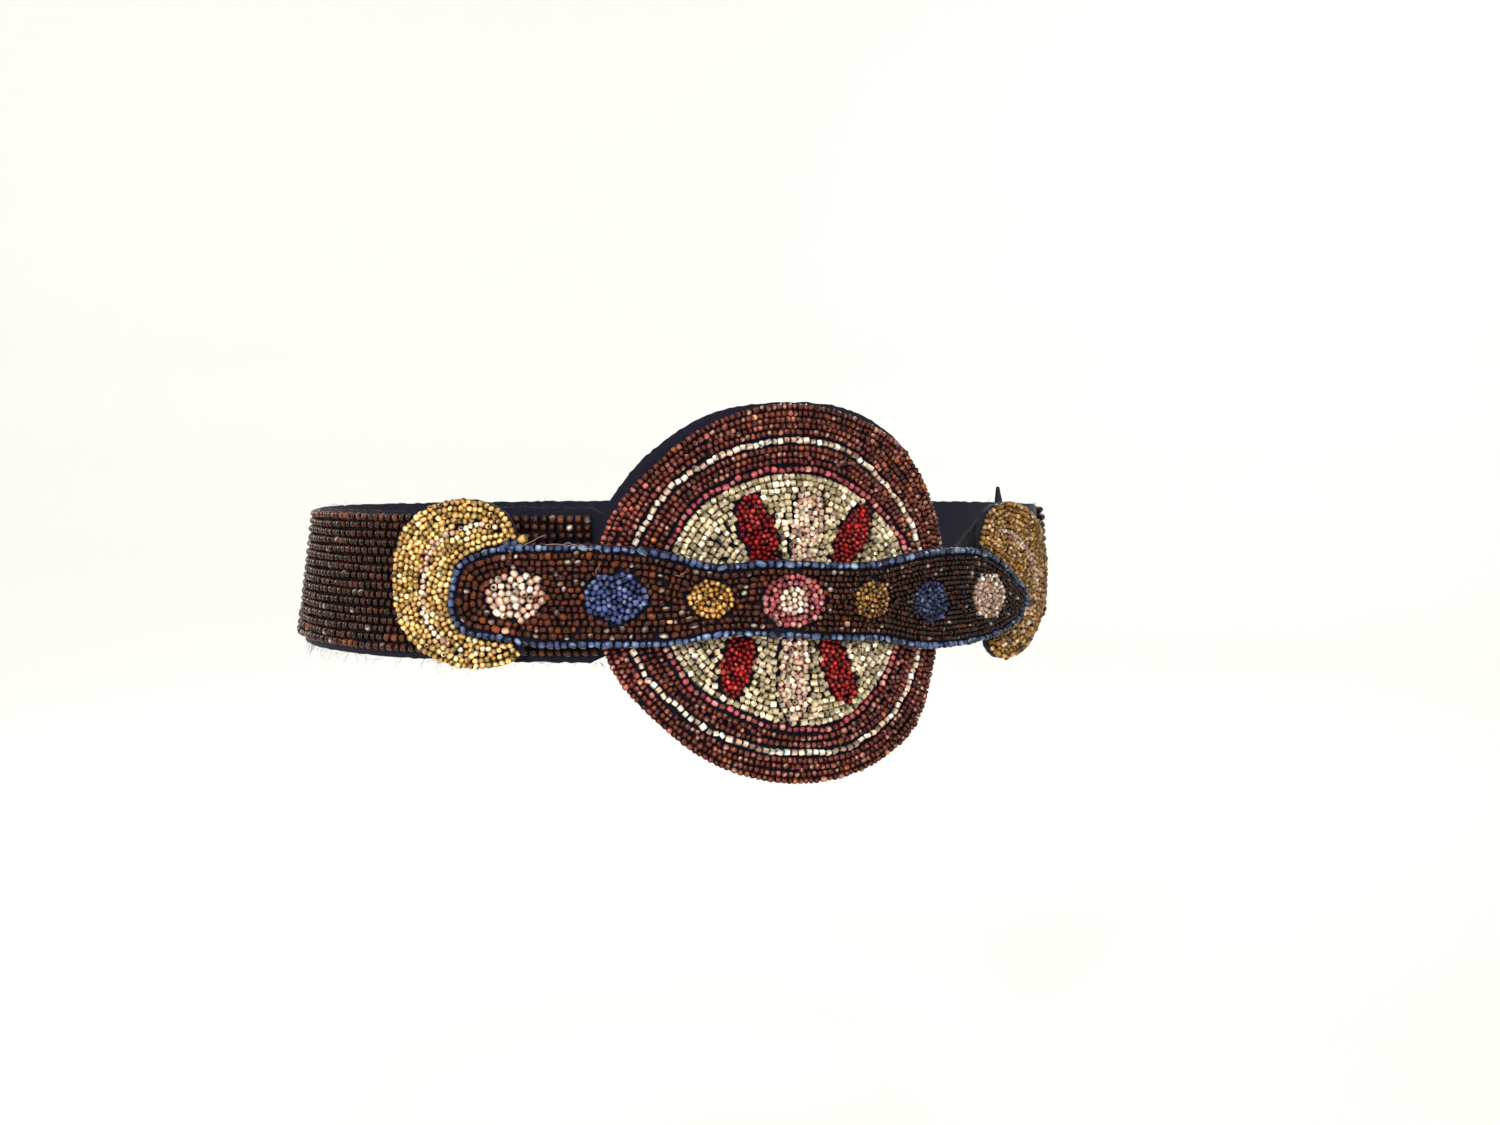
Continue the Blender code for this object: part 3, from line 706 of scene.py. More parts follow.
def add_beads(name, beads, layer, thick, colours, look, nodes, rng, tilt, uneven=0.06,
              cut=False, painted_glints=0.0, painted_glint_colour=WHITE_PAINTED_GLINT):
    """Beads as one mesh: thick across and as long as their column says, seated in a layer."""
    count = len(beads)
    form, faces = bead_form(CUT_PROFILE if cut else ROUND_PROFILE)
    radius = thick / 2 * (1 + rng.normal(0.0, uneven, count))
    length = beads[:, 3] * (CUT_LENGTH_SHARE if cut else BEAD_LENGTH_SHARE)
    along, up, outward = directions(beads[:, 0])
    turn = (beads[:, 2] + rng.normal(0.0, tilt, count))[:, None]
    nod = rng.normal(0.0, tilt, count)[:, None]
    roll = rng.uniform(0, math.tau, count)[:, None]
    thread = along * np.cos(turn) + up * np.sin(turn)
    side = up * np.cos(turn) - along * np.sin(turn)
    axis = thread * np.cos(nod) + outward * np.sin(nod)
    top = outward * np.cos(nod) - thread * np.sin(nod)
    across = side * np.cos(roll) + top * np.sin(roll)
    over = top * np.cos(roll) - side * np.sin(roll)
    out = layer[1] - thick / 2 * (1.0 - rng.normal(0.0, BEAD_LIFT, count))
    centre = lay(beads[:, 0], beads[:, 1], np.minimum(out, layer[1] - thick * BEAD_SEAT))
    verts = (
        centre[:, None]
        + axis[:, None] * form[:, 0][None, :, None] * length[:, None, None]
        + across[:, None] * form[:, 1][None, :, None] * radius[:, None, None]
        + over[:, None] * form[:, 2][None, :, None] * radius[:, None, None]
    ).reshape(-1, 3)
    corners = (faces[None] + (np.arange(count) * len(form))[:, None, None]).reshape(-1, 4)
    mesh = quick_mesh(name, verts, corners, smooth=not cut)
    # Painted light: each bead is painted brighter on one side, turned a little from facing
    # outwards, and painted darker towards its hole
    facing = np.arctan2(form[:, 2], form[:, 1])[None] + roll
    painted_light_turn = math.pi / 2 + rng.uniform(-PAINTED_BRIGHT_TURN, PAINTED_BRIGHT_TURN, count)[:, None]
    painted_sheen = np.clip(np.cos(facing - painted_light_turn), 0.0, 1.0) ** 3
    size = np.hypot(form[:, 1], form[:, 2])
    body = np.interp(size, (HOLE_RADIUS, 1.0), (PAINTED_HOLE_SHADE, 1.0))[None]
    colours_with_painted_light = colours[:, None] * (body * (PAINTED_DARK_SIDE + PAINTED_BRIGHT_SIDE * painted_sheen))[..., None]
    # Painted glints: a share of the beads get a painted highlight on their bright side, strongest
    # at their middle
    painted_glint = (rng.random(count) < painted_glints) * rng.uniform(*PAINTED_GLINT_STRENGTH, count)
    middle = np.interp(np.abs(form[:, 0]), (0.0, PAINTED_GLINT_REACH), (1.0, PAINTED_GLINT_LEFT))[None]
    painted_glint = (painted_glint[:, None] * painted_sheen ** 3 * middle)[..., None]
    colours_with_painted_light = colours_with_painted_light + (np.array(painted_glint_colour) - colours_with_painted_light) * painted_glint
    # The colour attribute holds each bead's colour together with its painted light, painted shade
    # and painted glints
    tint_and_painted_light = mesh.color_attributes.new("bead_colour_and_painted_light", "FLOAT_COLOR", "POINT")
    colours_with_painted_light = np.column_stack([np.clip(colours_with_painted_light, 0.0, 1.0).reshape(-1, 3), np.ones(len(verts))])
    tint_and_painted_light.data.foreach_set("color", colours_with_painted_light.astype(np.float32).ravel())
    return add_object(name, mesh, look, nodes)


def hair_mesh(name, hairs):
    """Loose threads as one mesh: each is its radius and its flat points u, z and out."""
    verts = []
    faces = []
    turns = [math.tau * side / HAIR_SIDES for side in range(HAIR_SIDES)]
    for radius, points in hairs:
        points = np.asarray(points)
        line = lay(points[:, 0], points[:, 1], points[:, 2])
        base = len(verts)
        for index, place in enumerate(line):
            run = line[min(index + 1, len(line) - 1)] - line[max(index - 1, 0)]
            run /= np.linalg.norm(run)
            side = np.cross(run, (0.31, 0.85, 0.42))
            side /= np.linalg.norm(side)
            over = np.cross(run, side)
            thin = radius * (1.0 if index < len(line) - 1 else HAIR_TIP)
            verts += [place + thin * (side * math.cos(t) + over * math.sin(t)) for t in turns]
        for index in range(len(line) - 1):
            for side in range(HAIR_SIDES):
                low = base + index * HAIR_SIDES
                beside = (side + 1) % HAIR_SIDES
                high = low + HAIR_SIDES
                faces.append((low + side, low + beside, high + beside, high + side))
        last = base + (len(line) - 1) * HAIR_SIDES
        faces.append(tuple(base + side for side in reversed(range(HAIR_SIDES))))
        faces.append(tuple(last + side for side in range(HAIR_SIDES)))
    return smooth_mesh(name, [tuple(vert) for vert in verts], faces)


# Materials


def set_inputs(made, inputs):
    """A shader node's input values, named with _ for a space."""
    for key, value in inputs.items():
        made.inputs[key.replace("_", " ")].default_value = value


def new_material(name, **inputs):
    """A node material with its Principled shader and that shader's input values."""
    made = bpy.data.materials.new(name)
    made.use_nodes = True
    shader = made.node_tree.nodes["Principled BSDF"]
    set_inputs(shader, inputs)
    return made, made.node_tree, shader


def node(tree, kind, settings=None, **inputs):
    """A shader node with its settings and input values."""
    made = tree.nodes.new(kind)
    for key, value in (settings or {}).items():
        setattr(made, key, value)
    set_inputs(made, inputs)
    return made


def cloudy(tree, scale, detail, roughness):
    """Noise fixed to the object: the socket of its value."""
    place = node(tree, "ShaderNodeTexCoord")
    noise = node(tree, "ShaderNodeTexNoise", Scale=scale, Detail=detail, Roughness=roughness)
    tree.links.new(place.outputs["Object"], noise.inputs["Vector"])
    return noise.outputs["Fac"]


def ranged(tree, value, low, high):
    """A value from 0 to 1 brought to lie between two others."""
    made = node(tree, "ShaderNodeMapRange", To_Min=low, To_Max=high)
    tree.links.new(value, made.inputs["Value"])
    return made.outputs["Result"]


def two_toned(tree, shader, value, first, second):
    """The shader's colour, blended from one to another by a value."""
    blend = node(tree, "ShaderNodeMix", {"data_type": "RGBA"}, A=(*first, 1.0), B=(*second, 1.0))
    tree.links.new(value, blend.inputs["Factor"])
    tree.links.new(blend.outputs["Result"], shader.inputs["Base Color"])


def bumped(tree, shader, height, strength, distance):
    """Relief on the shader from a height."""
    bump = node(tree, "ShaderNodeBump", Strength=strength, Distance=distance)
    tree.links.new(height, bump.inputs["Height"])
    tree.links.new(bump.outputs["Normal"], shader.inputs["Normal"])


def bead_material(name, roughness, gloss, metallic=0.0):
    """Glass beads: each bead's colour and painted light, clouded a little, with a slightly uneven
    skin.
    """
    made, tree, shader = new_material(name, Roughness=roughness, Specular_IOR_Level=gloss,
                                      Metallic=metallic)
    tint_and_painted_light = node(tree, "ShaderNodeAttribute", {"attribute_name": "bead_colour_and_painted_light"})
    cloud = cloudy(tree, scale=1400.0, detail=2.0, roughness=0.6)
    mix = node(tree, "ShaderNodeMix", {"data_type": "RGBA", "blend_type": "MULTIPLY"}, Factor=1.0)
    tree.links.new(tint_and_painted_light.outputs["Color"], mix.inputs["A"])
    tree.links.new(ranged(tree, cloud, 1.0 - CLOUDING, 1.0 + CLOUDING), mix.inputs["B"])
    tree.links.new(mix.outputs["Result"], shader.inputs["Base Color"])
    bumped(tree, shader, cloud, strength=0.2, distance=0.00004)
    return made


def cloth_material(name, colour, faded):
    """Plain woven cotton: crossing threads, worn lighter in places."""
    made, tree, shader = new_material(name, Roughness=0.92, Specular_IOR_Level=0.2,
                                      Sheen_Weight=0.08, Sheen_Roughness=0.5)
    worn = cloudy(tree, scale=140.0, detail=4.0, roughness=0.6)
    two_toned(tree, shader, worn, colour, faded)
    flat_place = node(tree, "ShaderNodeUVMap", {"uv_map": "flat"})
    height = node(tree, "ShaderNodeMath", {"operation": "MAXIMUM"})
    for side, bands in enumerate("XY"):
        weave = node(tree, "ShaderNodeTexWave", {"bands_direction": bands}, Scale=520.0,
                     Distortion=0.6, Detail=1.0)
        tree.links.new(flat_place.outputs["UV"], weave.inputs["Vector"])
        tree.links.new(weave.outputs["Fac"], height.inputs[side])
    bumped(tree, shader, height.outputs["Value"], strength=0.7, distance=0.00015)
    return made


def thread_material(name, colour, shade):
    """A spun thread: two tones along it."""
    made, tree, shader = new_material(name, Roughness=0.8)
    spun = cloudy(tree, scale=900.0, detail=2.0, roughness=0.5)
    two_toned(tree, shader, spun, colour, shade)
    return made


def metal_material(name):
    """Dull nickel, brushed and a little scratched."""
    made, tree, shader = new_material(name, Metallic=1.0)
    brushed = cloudy(tree, scale=900.0, detail=5.0, roughness=0.7)
    tree.links.new(ranged(tree, brushed, 0.25, 0.5), shader.inputs["Roughness"])
    two_toned(tree, shader, brushed, (0.36, 0.35, 0.33), (0.52, 0.50, 0.47))
    return made


GLASS_DARK = bead_material("dark_glass", roughness=0.14, gloss=0.22)
GLASS_LUSTRE = bead_material("lustre_glass", roughness=0.20, gloss=0.30, metallic=0.35)
GLASS_CLEAR = bead_material("clear_glass", roughness=0.14, gloss=0.35, metallic=0.08)
GLASS_SILVER = bead_material("silver_lined_glass", roughness=0.22, gloss=0.5, metallic=0.35)
GLASS_GOLD = bead_material("gold_glass", roughness=0.20, gloss=0.4, metallic=0.35)
NAVY = cloth_material("navy_cotton", (0.0030, 0.0030, 0.0085), (0.0075, 0.0068, 0.020))
METAL = metal_material("dull_nickel")
THREAD_DARK = thread_material("dark_thread", (0.010, 0.009, 0.020), (0.004, 0.004, 0.010))
THREAD_PALE = thread_material("pale_thread", (0.42, 0.34, 0.25), (0.25, 0.18, 0.12))

# Colours of beads, each with its share
BROWN = (
    (6, (0.0223, 0.0066, 0.00327)), (3, (0.033, 0.00968, 0.00458)),
    (1, (0.0538, 0.0143, 0.00615)),
)
RUST = ((3, (0.13, 0.036, 0.015)), (2, (0.08, 0.024, 0.013)), (1, (0.045, 0.016, 0.011)))
AMBER = (
    (6, (0.032, 0.00725, 0.00331)), (3, (0.058, 0.0131, 0.00432)), (0.55, (0.126, 0.0288, 0.00708)),
    (0.08, (0.525, 0.275, 0.172)),
)
PLUM = (
    (6, (0.0828, 0.0179, 0.0131)), (3, (0.126, 0.0286, 0.0194)), (2, (0.05, 0.0109, 0.00879)),
    (0.35, (0.252, 0.065, 0.0256)), (0.6, (0.238, 0.0698, 0.0559)), (0.1, (0.498, 0.223, 0.12)),
)
CRYSTAL = (
    (3, (0.782, 0.594, 0.473)), (3, (0.506, 0.336, 0.263)), (1.5, (0.977, 0.885, 0.756)),
    (1, (0.276, 0.168, 0.126)),
)
ROSE = ((4, (0.286, 0.052, 0.062)), (2, (0.408, 0.168, 0.143)), (2, (0.177, 0.0245, 0.031)))
SAGE = (
    (5, (0.412, 0.335, 0.213)), (3, (0.568, 0.469, 0.319)), (3, (0.245, 0.194, 0.114)),
    (1, (0.784, 0.662, 0.509)),
)
PALE = (
    (5, (0.651, 0.420, 0.313)), (3, (0.819, 0.630, 0.497)), (2, (0.420, 0.240, 0.175)),
    (1, (0.945, 0.840, 0.708)),
)
PETAL = (
    (4, (0.563, 0.358, 0.273)), (3, (0.679, 0.521, 0.414)), (2, (0.349, 0.214, 0.158)),
    (2, (0.466, 0.391, 0.273)),
)
RED = ((6, (0.127, 0.0020, 0.0039)), (2, (0.273, 0.0070, 0.0066)), (2, (0.056, 0.0015, 0.0033)))
BLUE = ((5, (0.035, 0.052, 0.152)), (2, (0.088, 0.115, 0.266)), (3, (0.0142, 0.0210, 0.076)))
STEEL_BLUE = (
    (4, (0.034, 0.052, 0.125)), (3, (0.062, 0.095, 0.19)), (3, (0.014, 0.020, 0.055)),
    (0.4, (0.20, 0.27, 0.37)),
)
GOLD = (
    (5, (0.552, 0.334, 0.106)), (3, (0.744, 0.493, 0.191)), (3, (0.336, 0.185, 0.047)),
    (0.8, (1.056, 0.806, 0.442)),
)
OLIVE_GOLD = (
    (5, (0.213, 0.102, 0.0167)), (3, (0.297, 0.154, 0.0301)),
    (3, (0.116, 0.052, 0.00806)),
)
PEACH = ((3, (0.36, 0.205, 0.0988)), (2, (0.446, 0.29, 0.166)))
SPOT_GOLD = ((5, (0.291, 0.140, 0.0300)), (2, (0.427, 0.228, 0.060)), (3, (0.145, 0.064, 0.0132)))

# Name, places and angles, length, thickness, palette, glass, slot and node of beads sewn on singly
STRAY_BEADS = (
    ("stray_gold_bead", ((-0.0668, 0.0121, 0.6),), 0.0026, 0.0025, GOLD, GLASS_GOLD, "gold_beads",
     "strap_beads"),
    ("stray_blue_beads",
     ((-0.0708, 0.0108, 0.9), (-0.0688, 0.0110, 0.2), (-0.0722, 0.0096, 1.3),
      (-0.0698, 0.0095, 0.5)),
     0.0021, 0.0020, BLUE, GLASS_CLEAR, "blue_beads", "strap_edging"),
)


# Beads of each part


def add_band_beads():
    """The band's straight rows, in two pieces that share the band's bead face."""
    rng = np.random.default_rng(11)
    outlines, layer = cut_piece("band_beads")
    beads = level_rows(outlines, BAND_ROW, BAND_ROWS, BAND_PITCH, rng)
    beads[:, 3] *= BAND_BEAD_SHARE
    top_row = beads[:, 1] > (BAND_ROWS / 2 - 1) * BAND_ROW
    low_row = beads[:, 1] < (2 - BAND_ROWS / 2) * BAND_ROW
    colours = picked(BROWN, len(beads), rng)
    rusty = top_row & (rng.random(len(beads)) < TOP_RUST)
    rusty |= low_row & (rng.random(len(beads)) < LOW_RUST)
    colours[rusty] = picked(RUST, int(rusty.sum()), rng)
    for name, chosen in (
        ("band_seed_beads_front", beads[:, 0] > BAND_SPLIT),
        ("band_seed_beads_back", beads[:, 0] <= BAND_SPLIT),
    ):
        add_beads(name, beads[chosen], layer, BAND_BEAD, colours[chosen], GLASS_DARK,
                  ["band_beads"], rng, tilt=0.10, painted_glints=0.08)


def add_medallion_beads():
    """The medallion's rings, field, petals and leaves."""
    rng = np.random.default_rng(23)
    rim = cut_piece("border_outer")[0][0]
    middle = (rim.min(0) + rim.max(0)) / 2
    # Painted light: the border's beads are painted lighter towards the left, where more light falls
    for name in ("border_outer", "border_inner"):
        add_packed(name, BORDER_ROW, BORDER_PITCH, PLUM, GLASS_LUSTRE, rng,
                   uneven=0.16, painted_glints=0.30, painted_glint_colour=COPPER_PAINTED_GLINT, light=BORDER_PAINTED_LIGHT)
    for name, palette, look, slot, cut in (
        ("white_ring", CRYSTAL, GLASS_SILVER, "white_beads", True),
        ("pink_ring", ROSE, GLASS_CLEAR, "rose_beads", False),
    ):
        (outer, inner), layer = cut_piece(name)
        beads = ring_row(outer, inner, RING_PITCH, rng, middle)
        beads[:, 3] *= RING_BEAD_SHARE * rng.uniform(0.8, 1.1, len(beads))
        colours = picked(palette, len(beads), rng, spread=0.30)
        add_beads(f"{name}_seed_beads", beads, layer, RING_BEAD, colours, look, [name],
                  rng, tilt=0.22, uneven=0.10, cut=cut)
    inlays = []
    for name in ("petal_upper", "petal_lower"):
        inlays.append(add_packed(name, PETAL_ROW, PETAL_ROW, PETAL, GLASS_SILVER,
                                 rng, tilt=0.4, rough_edge=0.0008, cut=True))
    for place in ("upper_left", "upper_right", "lower_left", "lower_right"):
        inlays.append(add_packed(f"leaf_{place}", LEAF_ROW, LEAF_ROW, RED, GLASS_DARK,
                                 rng, tilt=0.4, rough_edge=0.0008, painted_glints=0.4, painted_glint_colour=RED_PAINTED_GLINT))
    add_packed("field", FIELD_ROW, FIELD_PITCH, SAGE, GLASS_SILVER, rng,
               around=join(inlays), cut=True)


def add_packed(name, row, pitch, palette, look, rng, around=None, tilt=0.3, uneven=0.12,
               rough_edge=0.0, cut=False, painted_glints=0.0, painted_glint_colour=WHITE_PAINTED_GLINT, light=LEVEL_LIGHT):
    """The beads of one node, packed inside its rim and round beads that are there already."""
    outlines, layer = cut_piece(name)
    if around is not None:
        outlines = outlines[:1]
    if rough_edge:
        outlines = [ragged(outlines[0], rough_edge, rng)]
    beads = packed_rows(outlines, row, pitch, rng, around, uneven=uneven)
    # The colours are multiplied by light, a painted light and shade along the belt
    colours = picked(palette, len(beads), rng) * np.interp(beads[:, 0], *light)[:, None]
    add_beads(f"{name}_seed_beads", beads, layer, row * BEAD_FILL, colours, look, [name],
              rng, tilt=tilt, cut=cut, painted_glints=painted_glints, painted_glint_colour=painted_glint_colour)
    return beads


def strap_row(u):
    """Height of the strap's rows of beads at u, which get finer to the right."""
    places, sizes = zip(*STRAP_SIZES)
    return np.interp(u, places, sizes)


def add_strap_ground(spots, rng):
    """The strap's brown beads, packed at an even size on a plane that is stretched to the right."""
    outlines, layer = cut_piece("strap_beads")
    us = np.linspace(-STRETCH_REACH, STRETCH_REACH, STRETCH_POINTS)
    steps = (us[1] - us[0]) / strap_row((us[1:] + us[:-1]) / 2)
    stretched = summed(steps)

    def stretch(places):
        level = places[:, 1] / strap_row(places[:, 0])
        return np.column_stack([np.interp(places[:, 0], us, stretched), level])

    around = np.column_stack([stretch(spots), spots[:, 2:]])
    rim = stretch(dense(outlines[0], 0.0005)) * STRETCH_UNIT
    around[:, :2] *= STRETCH_UNIT
    beads = packed_rows([rim], STRETCH_UNIT, STRETCH_UNIT * 1.08, rng, around, uneven=0.24)
    beads[:, :2] /= STRETCH_UNIT
    beads[:, 0] = np.interp(beads[:, 0], stretched, us)
    rows = strap_row(beads[:, 0])
    beads[:, 1] *= rows
    beads[:, 3] *= rows / STRETCH_UNIT
    colours = picked(AMBER, len(beads), rng)
    # Painted shade: the ground's beads are painted darker towards the right, where less light falls
    colours *= np.interp(beads[:, 0], *GROUND_PAINTED_LIGHT)[:, None]
    add_beads("strap_seed_beads", beads, layer, rows * BEAD_FILL, colours, GLASS_DARK,
              ["strap_beads"], rng, tilt=0.2, uneven=0.12, painted_glints=0.11)


def add_strap_beads():
    """The strap's blue edging, brown ground and spots."""
    rng = np.random.default_rng(37)
    (outer, inner), layer = cut_piece("strap_edging")
    far = dense(outer)
    near = dense(inner)
    matched = np.array([near[int(np.argmin(((near - point) ** 2).sum(1)))] for point in far])
    beads = threaded((far + matched) / 2, True, EDGING_PITCH, rng, uneven=0.25)
    colours = picked(STEEL_BLUE, len(beads), rng, spread=0.30)
    # Painted shade: the edging's beads are painted darker towards the right, where less light falls
    colours *= np.interp(beads[:, 0], *EDGING_PAINTED_LIGHT)[:, None]
    add_beads("strap_edging_seed_beads", beads, layer, EDGING_BEAD, colours, GLASS_CLEAR,
              ["strap_edging"], rng, tilt=0.25, uneven=0.14, painted_glints=0.4,
              painted_glint_colour=BLUE_PAINTED_GLINT)
    spots = []
    # The last column is painted light: right-hand spots painted darker, gold_left lighter, as light
    # falls
    for name, row, palette, look, slot, painted_glint_colour, rough_edge, light in (
        ("pink_left", 0.00200, PALE, GLASS_SILVER, "pale_pink_beads", WHITE_PAINTED_GLINT, 0.0011, 1.0),
        ("blue_left", 0.00160, BLUE, GLASS_CLEAR, "blue_beads", BLUE_PAINTED_GLINT, 0.0008, 1.0),
        ("gold_left", 0.00145, SPOT_GOLD, GLASS_GOLD, "gold_beads", GOLD_PAINTED_GLINT, 0.0005, 1.4),
        ("rose_centre", 0.00165, CRYSTAL, GLASS_SILVER, "white_beads", WHITE_PAINTED_GLINT, 0.0, 1.05),
        ("gold_right", 0.00140, SPOT_GOLD, GLASS_GOLD, "gold_beads", GOLD_PAINTED_GLINT, 0.0004, 0.68),
        ("blue_right", 0.00140, BLUE, GLASS_DARK, "blue_beads", BLUE_PAINTED_GLINT, 0.0005, 0.42),
        ("pink_right", 0.00145, PALE, GLASS_CLEAR, "pale_pink_beads", WHITE_PAINTED_GLINT, 0.0004, 0.52),
    ):
        spots.append(add_packed(name, row, row, palette, look, rng, tilt=0.5,
                                rough_edge=rough_edge, painted_glints=0.25 * min(light, 1.0), painted_glint_colour=painted_glint_colour,
                                light=((0.0,), (light,))))
    centre = spots[3]
    spots.append(add_packed("rose_ring", 0.00160, 0.00160, ROSE, GLASS_CLEAR, rng,
                            around=centre, tilt=0.35, rough_edge=0.0005, painted_glints=0.2))
    add_strap_ground(join(spots), rng)


def add_crescent_beads():
    """Both crescents' gold rows and their pale stripes."""
    rng = np.random.default_rng(41)
    # The last value is painted light: the right crescent's beads are painted darker, as painted
    # shade
    for side, palette, light in (("left", GOLD, 1.0), ("right", OLIVE_GOLD, 0.60)):
        stripe = add_packed(f"crescent_{side}_stripe", CRESCENT_ROW, CRESCENT_PITCH, PALE,
                            GLASS_SILVER, rng, tilt=0.4, rough_edge=0.0006,
                            light=((0.0,), (light,)))
        name = f"crescent_{side}_beads"
        outlines, layer = cut_piece(name)
        rim = ragged(outlines[0], 0.00035, rng)
        beads = packed_rows([rim], CRESCENT_ROW, CRESCENT_PITCH, rng, stripe)
        colours = picked(palette, len(beads), rng)
        if side == "right":
            mixed = nearest_distance(beads[:, :2], stripe) < PEACH_REACH
            mixed &= rng.random(len(beads)) < PEACH_SHARE
            colours[mixed] = picked(PEACH, int(mixed.sum()), rng)
        else:
            gap = np.hypot(beads[:, 0] - MISSING_BEADS[0], beads[:, 1] - MISSING_BEADS[1])
            beads, colours = beads[gap > MISSING_BEADS[2]], colours[gap > MISSING_BEADS[2]]
        add_beads(f"crescent_{side}_seed_beads", beads, layer, CRESCENT_ROW * BEAD_FILL, colours,
                  GLASS_GOLD, [name], rng, tilt=0.4, painted_glints=0.25, painted_glint_colour=GOLD_PAINTED_GLINT)


def add_stray_beads():
    """A large gold bead and a few blue ones that sit beside the strap's upper left edge."""
    rng = np.random.default_rng(67)
    for name, places, long, thick, palette, look, slot, node_name in STRAY_BEADS:
        beads = np.array([(u, z, turn, long) for u, z, turn in places])
        _, layer = cut_piece(node_name)
        colours = picked(palette, len(beads), rng)
        add_beads(name, beads, layer, thick, colours, look, [node_name], rng, tilt=0.3)


def wander(start, heading_angle, length, steps, curl, rng, out, drift):
    """Points of a loose thread that starts at a flat place and curls as it goes."""
    u, z = start
    angle = heading_angle
    points = [(u, z, out)]
    for step in range(steps):
        angle += rng.normal(0.0, curl)
        u += math.cos(angle) * length / steps
        z += math.sin(angle) * length / steps
        points.append((u, z, out + drift * (step + 1) / steps + rng.normal(0.0, 0.00012)))
    return points


def add_threads():
    """Ravelled cloth edges, hairs and loose sewing threads."""
    rng = np.random.default_rng(79)
    cloth_out = cut_piece("band_cloth")[1]
    strap_out = cut_piece("strap_beads")[1][1]
    fluff = []
    count, us, zs, lengths = UPPER_HAIRS
    for _ in range(count):
        start = (rng.uniform(*us), rng.uniform(*zs))
        tall = rng.uniform(*lengths)
        fluff.append((HAIR_RADIUS, wander(start, rng.uniform(0.2, 2.9), tall, 4, 0.7, rng,
                                          rng.uniform(*cloth_out), rng.uniform(-0.0004, 0.0012))))
    for low, high, level, up, count, tall in FLUFF_ROWS:
        for _ in range(count):
            start = (rng.uniform(low, high), level)
            turn = up * math.pi / 2 + rng.normal(0.0, 0.6)
            long = tall * rng.uniform(0.3, 1.3)
            out, drift = rng.uniform(*cloth_out), rng.uniform(0.0, 0.0008)
            fluff.append((FLUFF_RADIUS, wander(start, turn, long, 5, 0.35, rng, out, drift)))
    for u, z, turn, long, curl in DARK_THREADS:
        hair = wander((u, z), turn, long, 8, curl, rng, strap_out - 0.0012, 0.0004)
        fluff.append((DARK_THREAD_RADIUS, hair))
    mesh = hair_mesh("ravelled_navy_threads", fluff)
    add_object("ravelled_navy_threads", mesh, THREAD_DARK, ["band_cloth"])
    pale = []
    for u, z, turn, long, curl in PALE_THREADS:
        hair = wander((u, z), turn, long, 12, curl, rng, strap_out - 0.0003, 0.0003)
        pale.append((PALE_THREAD_RADIUS, hair))
    mesh = hair_mesh("loose_sewing_threads", pale)
    add_object("loose_sewing_threads", mesh, THREAD_PALE, ["strap_cloth"])


# Cloth


def cloth_sheet(name, node_name, step, fray, rng):
    """A cloth piece as a fine sheet with its real thickness, slightly ragged at its cut edge."""
    outlines, layer = cut_piece(node_name)
    rim = even_path(outlines[0], max(24, int(path_length(outlines[0]) / step)))
    rim = rim + inward(rim) * rng.uniform(0.0, fray, (len(rim), 1))
    sheet = bmesh.new()
    verts = [sheet.verts.new((float(u), float(z), 0.0)) for u, z in rim]
    for index, vert in enumerate(verts):
        sheet.edges.new((vert, verts[(index + 1) % len(verts)]))
    bmesh.ops.triangle_fill(sheet, use_beauty=True, edges=sheet.edges[:], normal=(0, 0, 1))
    for axis in (0, 1):
        low, high = rim[:, axis].min(), rim[:, axis].max()
        grid = step * 2.0
        normal = (1, 0, 0) if axis == 0 else (0, 1, 0)
        for index in range(math.ceil(low / grid), math.floor(high / grid) + 1):
            place = (index * grid, 0, 0) if axis == 0 else (0, index * grid, 0)
            bmesh.ops.bisect_plane(
                sheet, geom=sheet.verts[:] + sheet.edges[:] + sheet.faces[:],
                dist=step / 500, plane_co=place, plane_no=normal,
            )
    bmesh.ops.recalc_face_normals(sheet, faces=sheet.faces[:])
    if sum(face.normal.z for face in sheet.faces) < 0:
        bmesh.ops.reverse_faces(sheet, faces=sheet.faces[:])
    sheet.verts.index_update()
    flat = np.array([vert.co[:2] for vert in sheet.verts])
    count = len(flat)
    wave = (
        np.sin(flat[:, 0] * 900 + np.sin(flat[:, 1] * 500) * 2)
        + np.sin(flat[:, 1] * 700 + np.cos(flat[:, 0] * 300) * 2)
    ) / 2
    depth = layer[1] - layer[0]
    outer_out = layer[1] - CLOTH_WAVE * depth * (1 + wave)
    inner_out = layer[0] + CLOTH_WAVE * depth * (1 + wave)
    points = np.vstack([lay(flat[:, 0], flat[:, 1], out) for out in (outer_out, inner_out)])
    faces = []
    for face in sheet.faces:
        corners = [vert.index for vert in face.verts]
        faces.append(corners)
        faces.append([corner + count for corner in reversed(corners)])
        for loop in face.loops:
            if len(loop.edge.link_faces) == 1:
                a = loop.vert.index
                b = loop.link_loop_next.vert.index
                faces.append([b, a, a + count, b + count])
    sheet.free()
    mesh = smooth_mesh(name, points.tolist(), faces)
    uvs = mesh.uv_layers.new(name="flat")
    index = np.zeros(len(mesh.loops), np.int32)
    mesh.loops.foreach_get("vertex_index", index)
    uvs.data.foreach_set("uv", np.vstack([flat, flat])[index].astype(np.float32).ravel())
    mesh.set_sharp_from_angle(angle=CLOTH_EDGE)
    piece = add_object(name, mesh, NAVY, [node_name])
    width, height = rim.max(0) - rim.min(0)
    return piece, (float(width), float(height)), abs(area(rim))


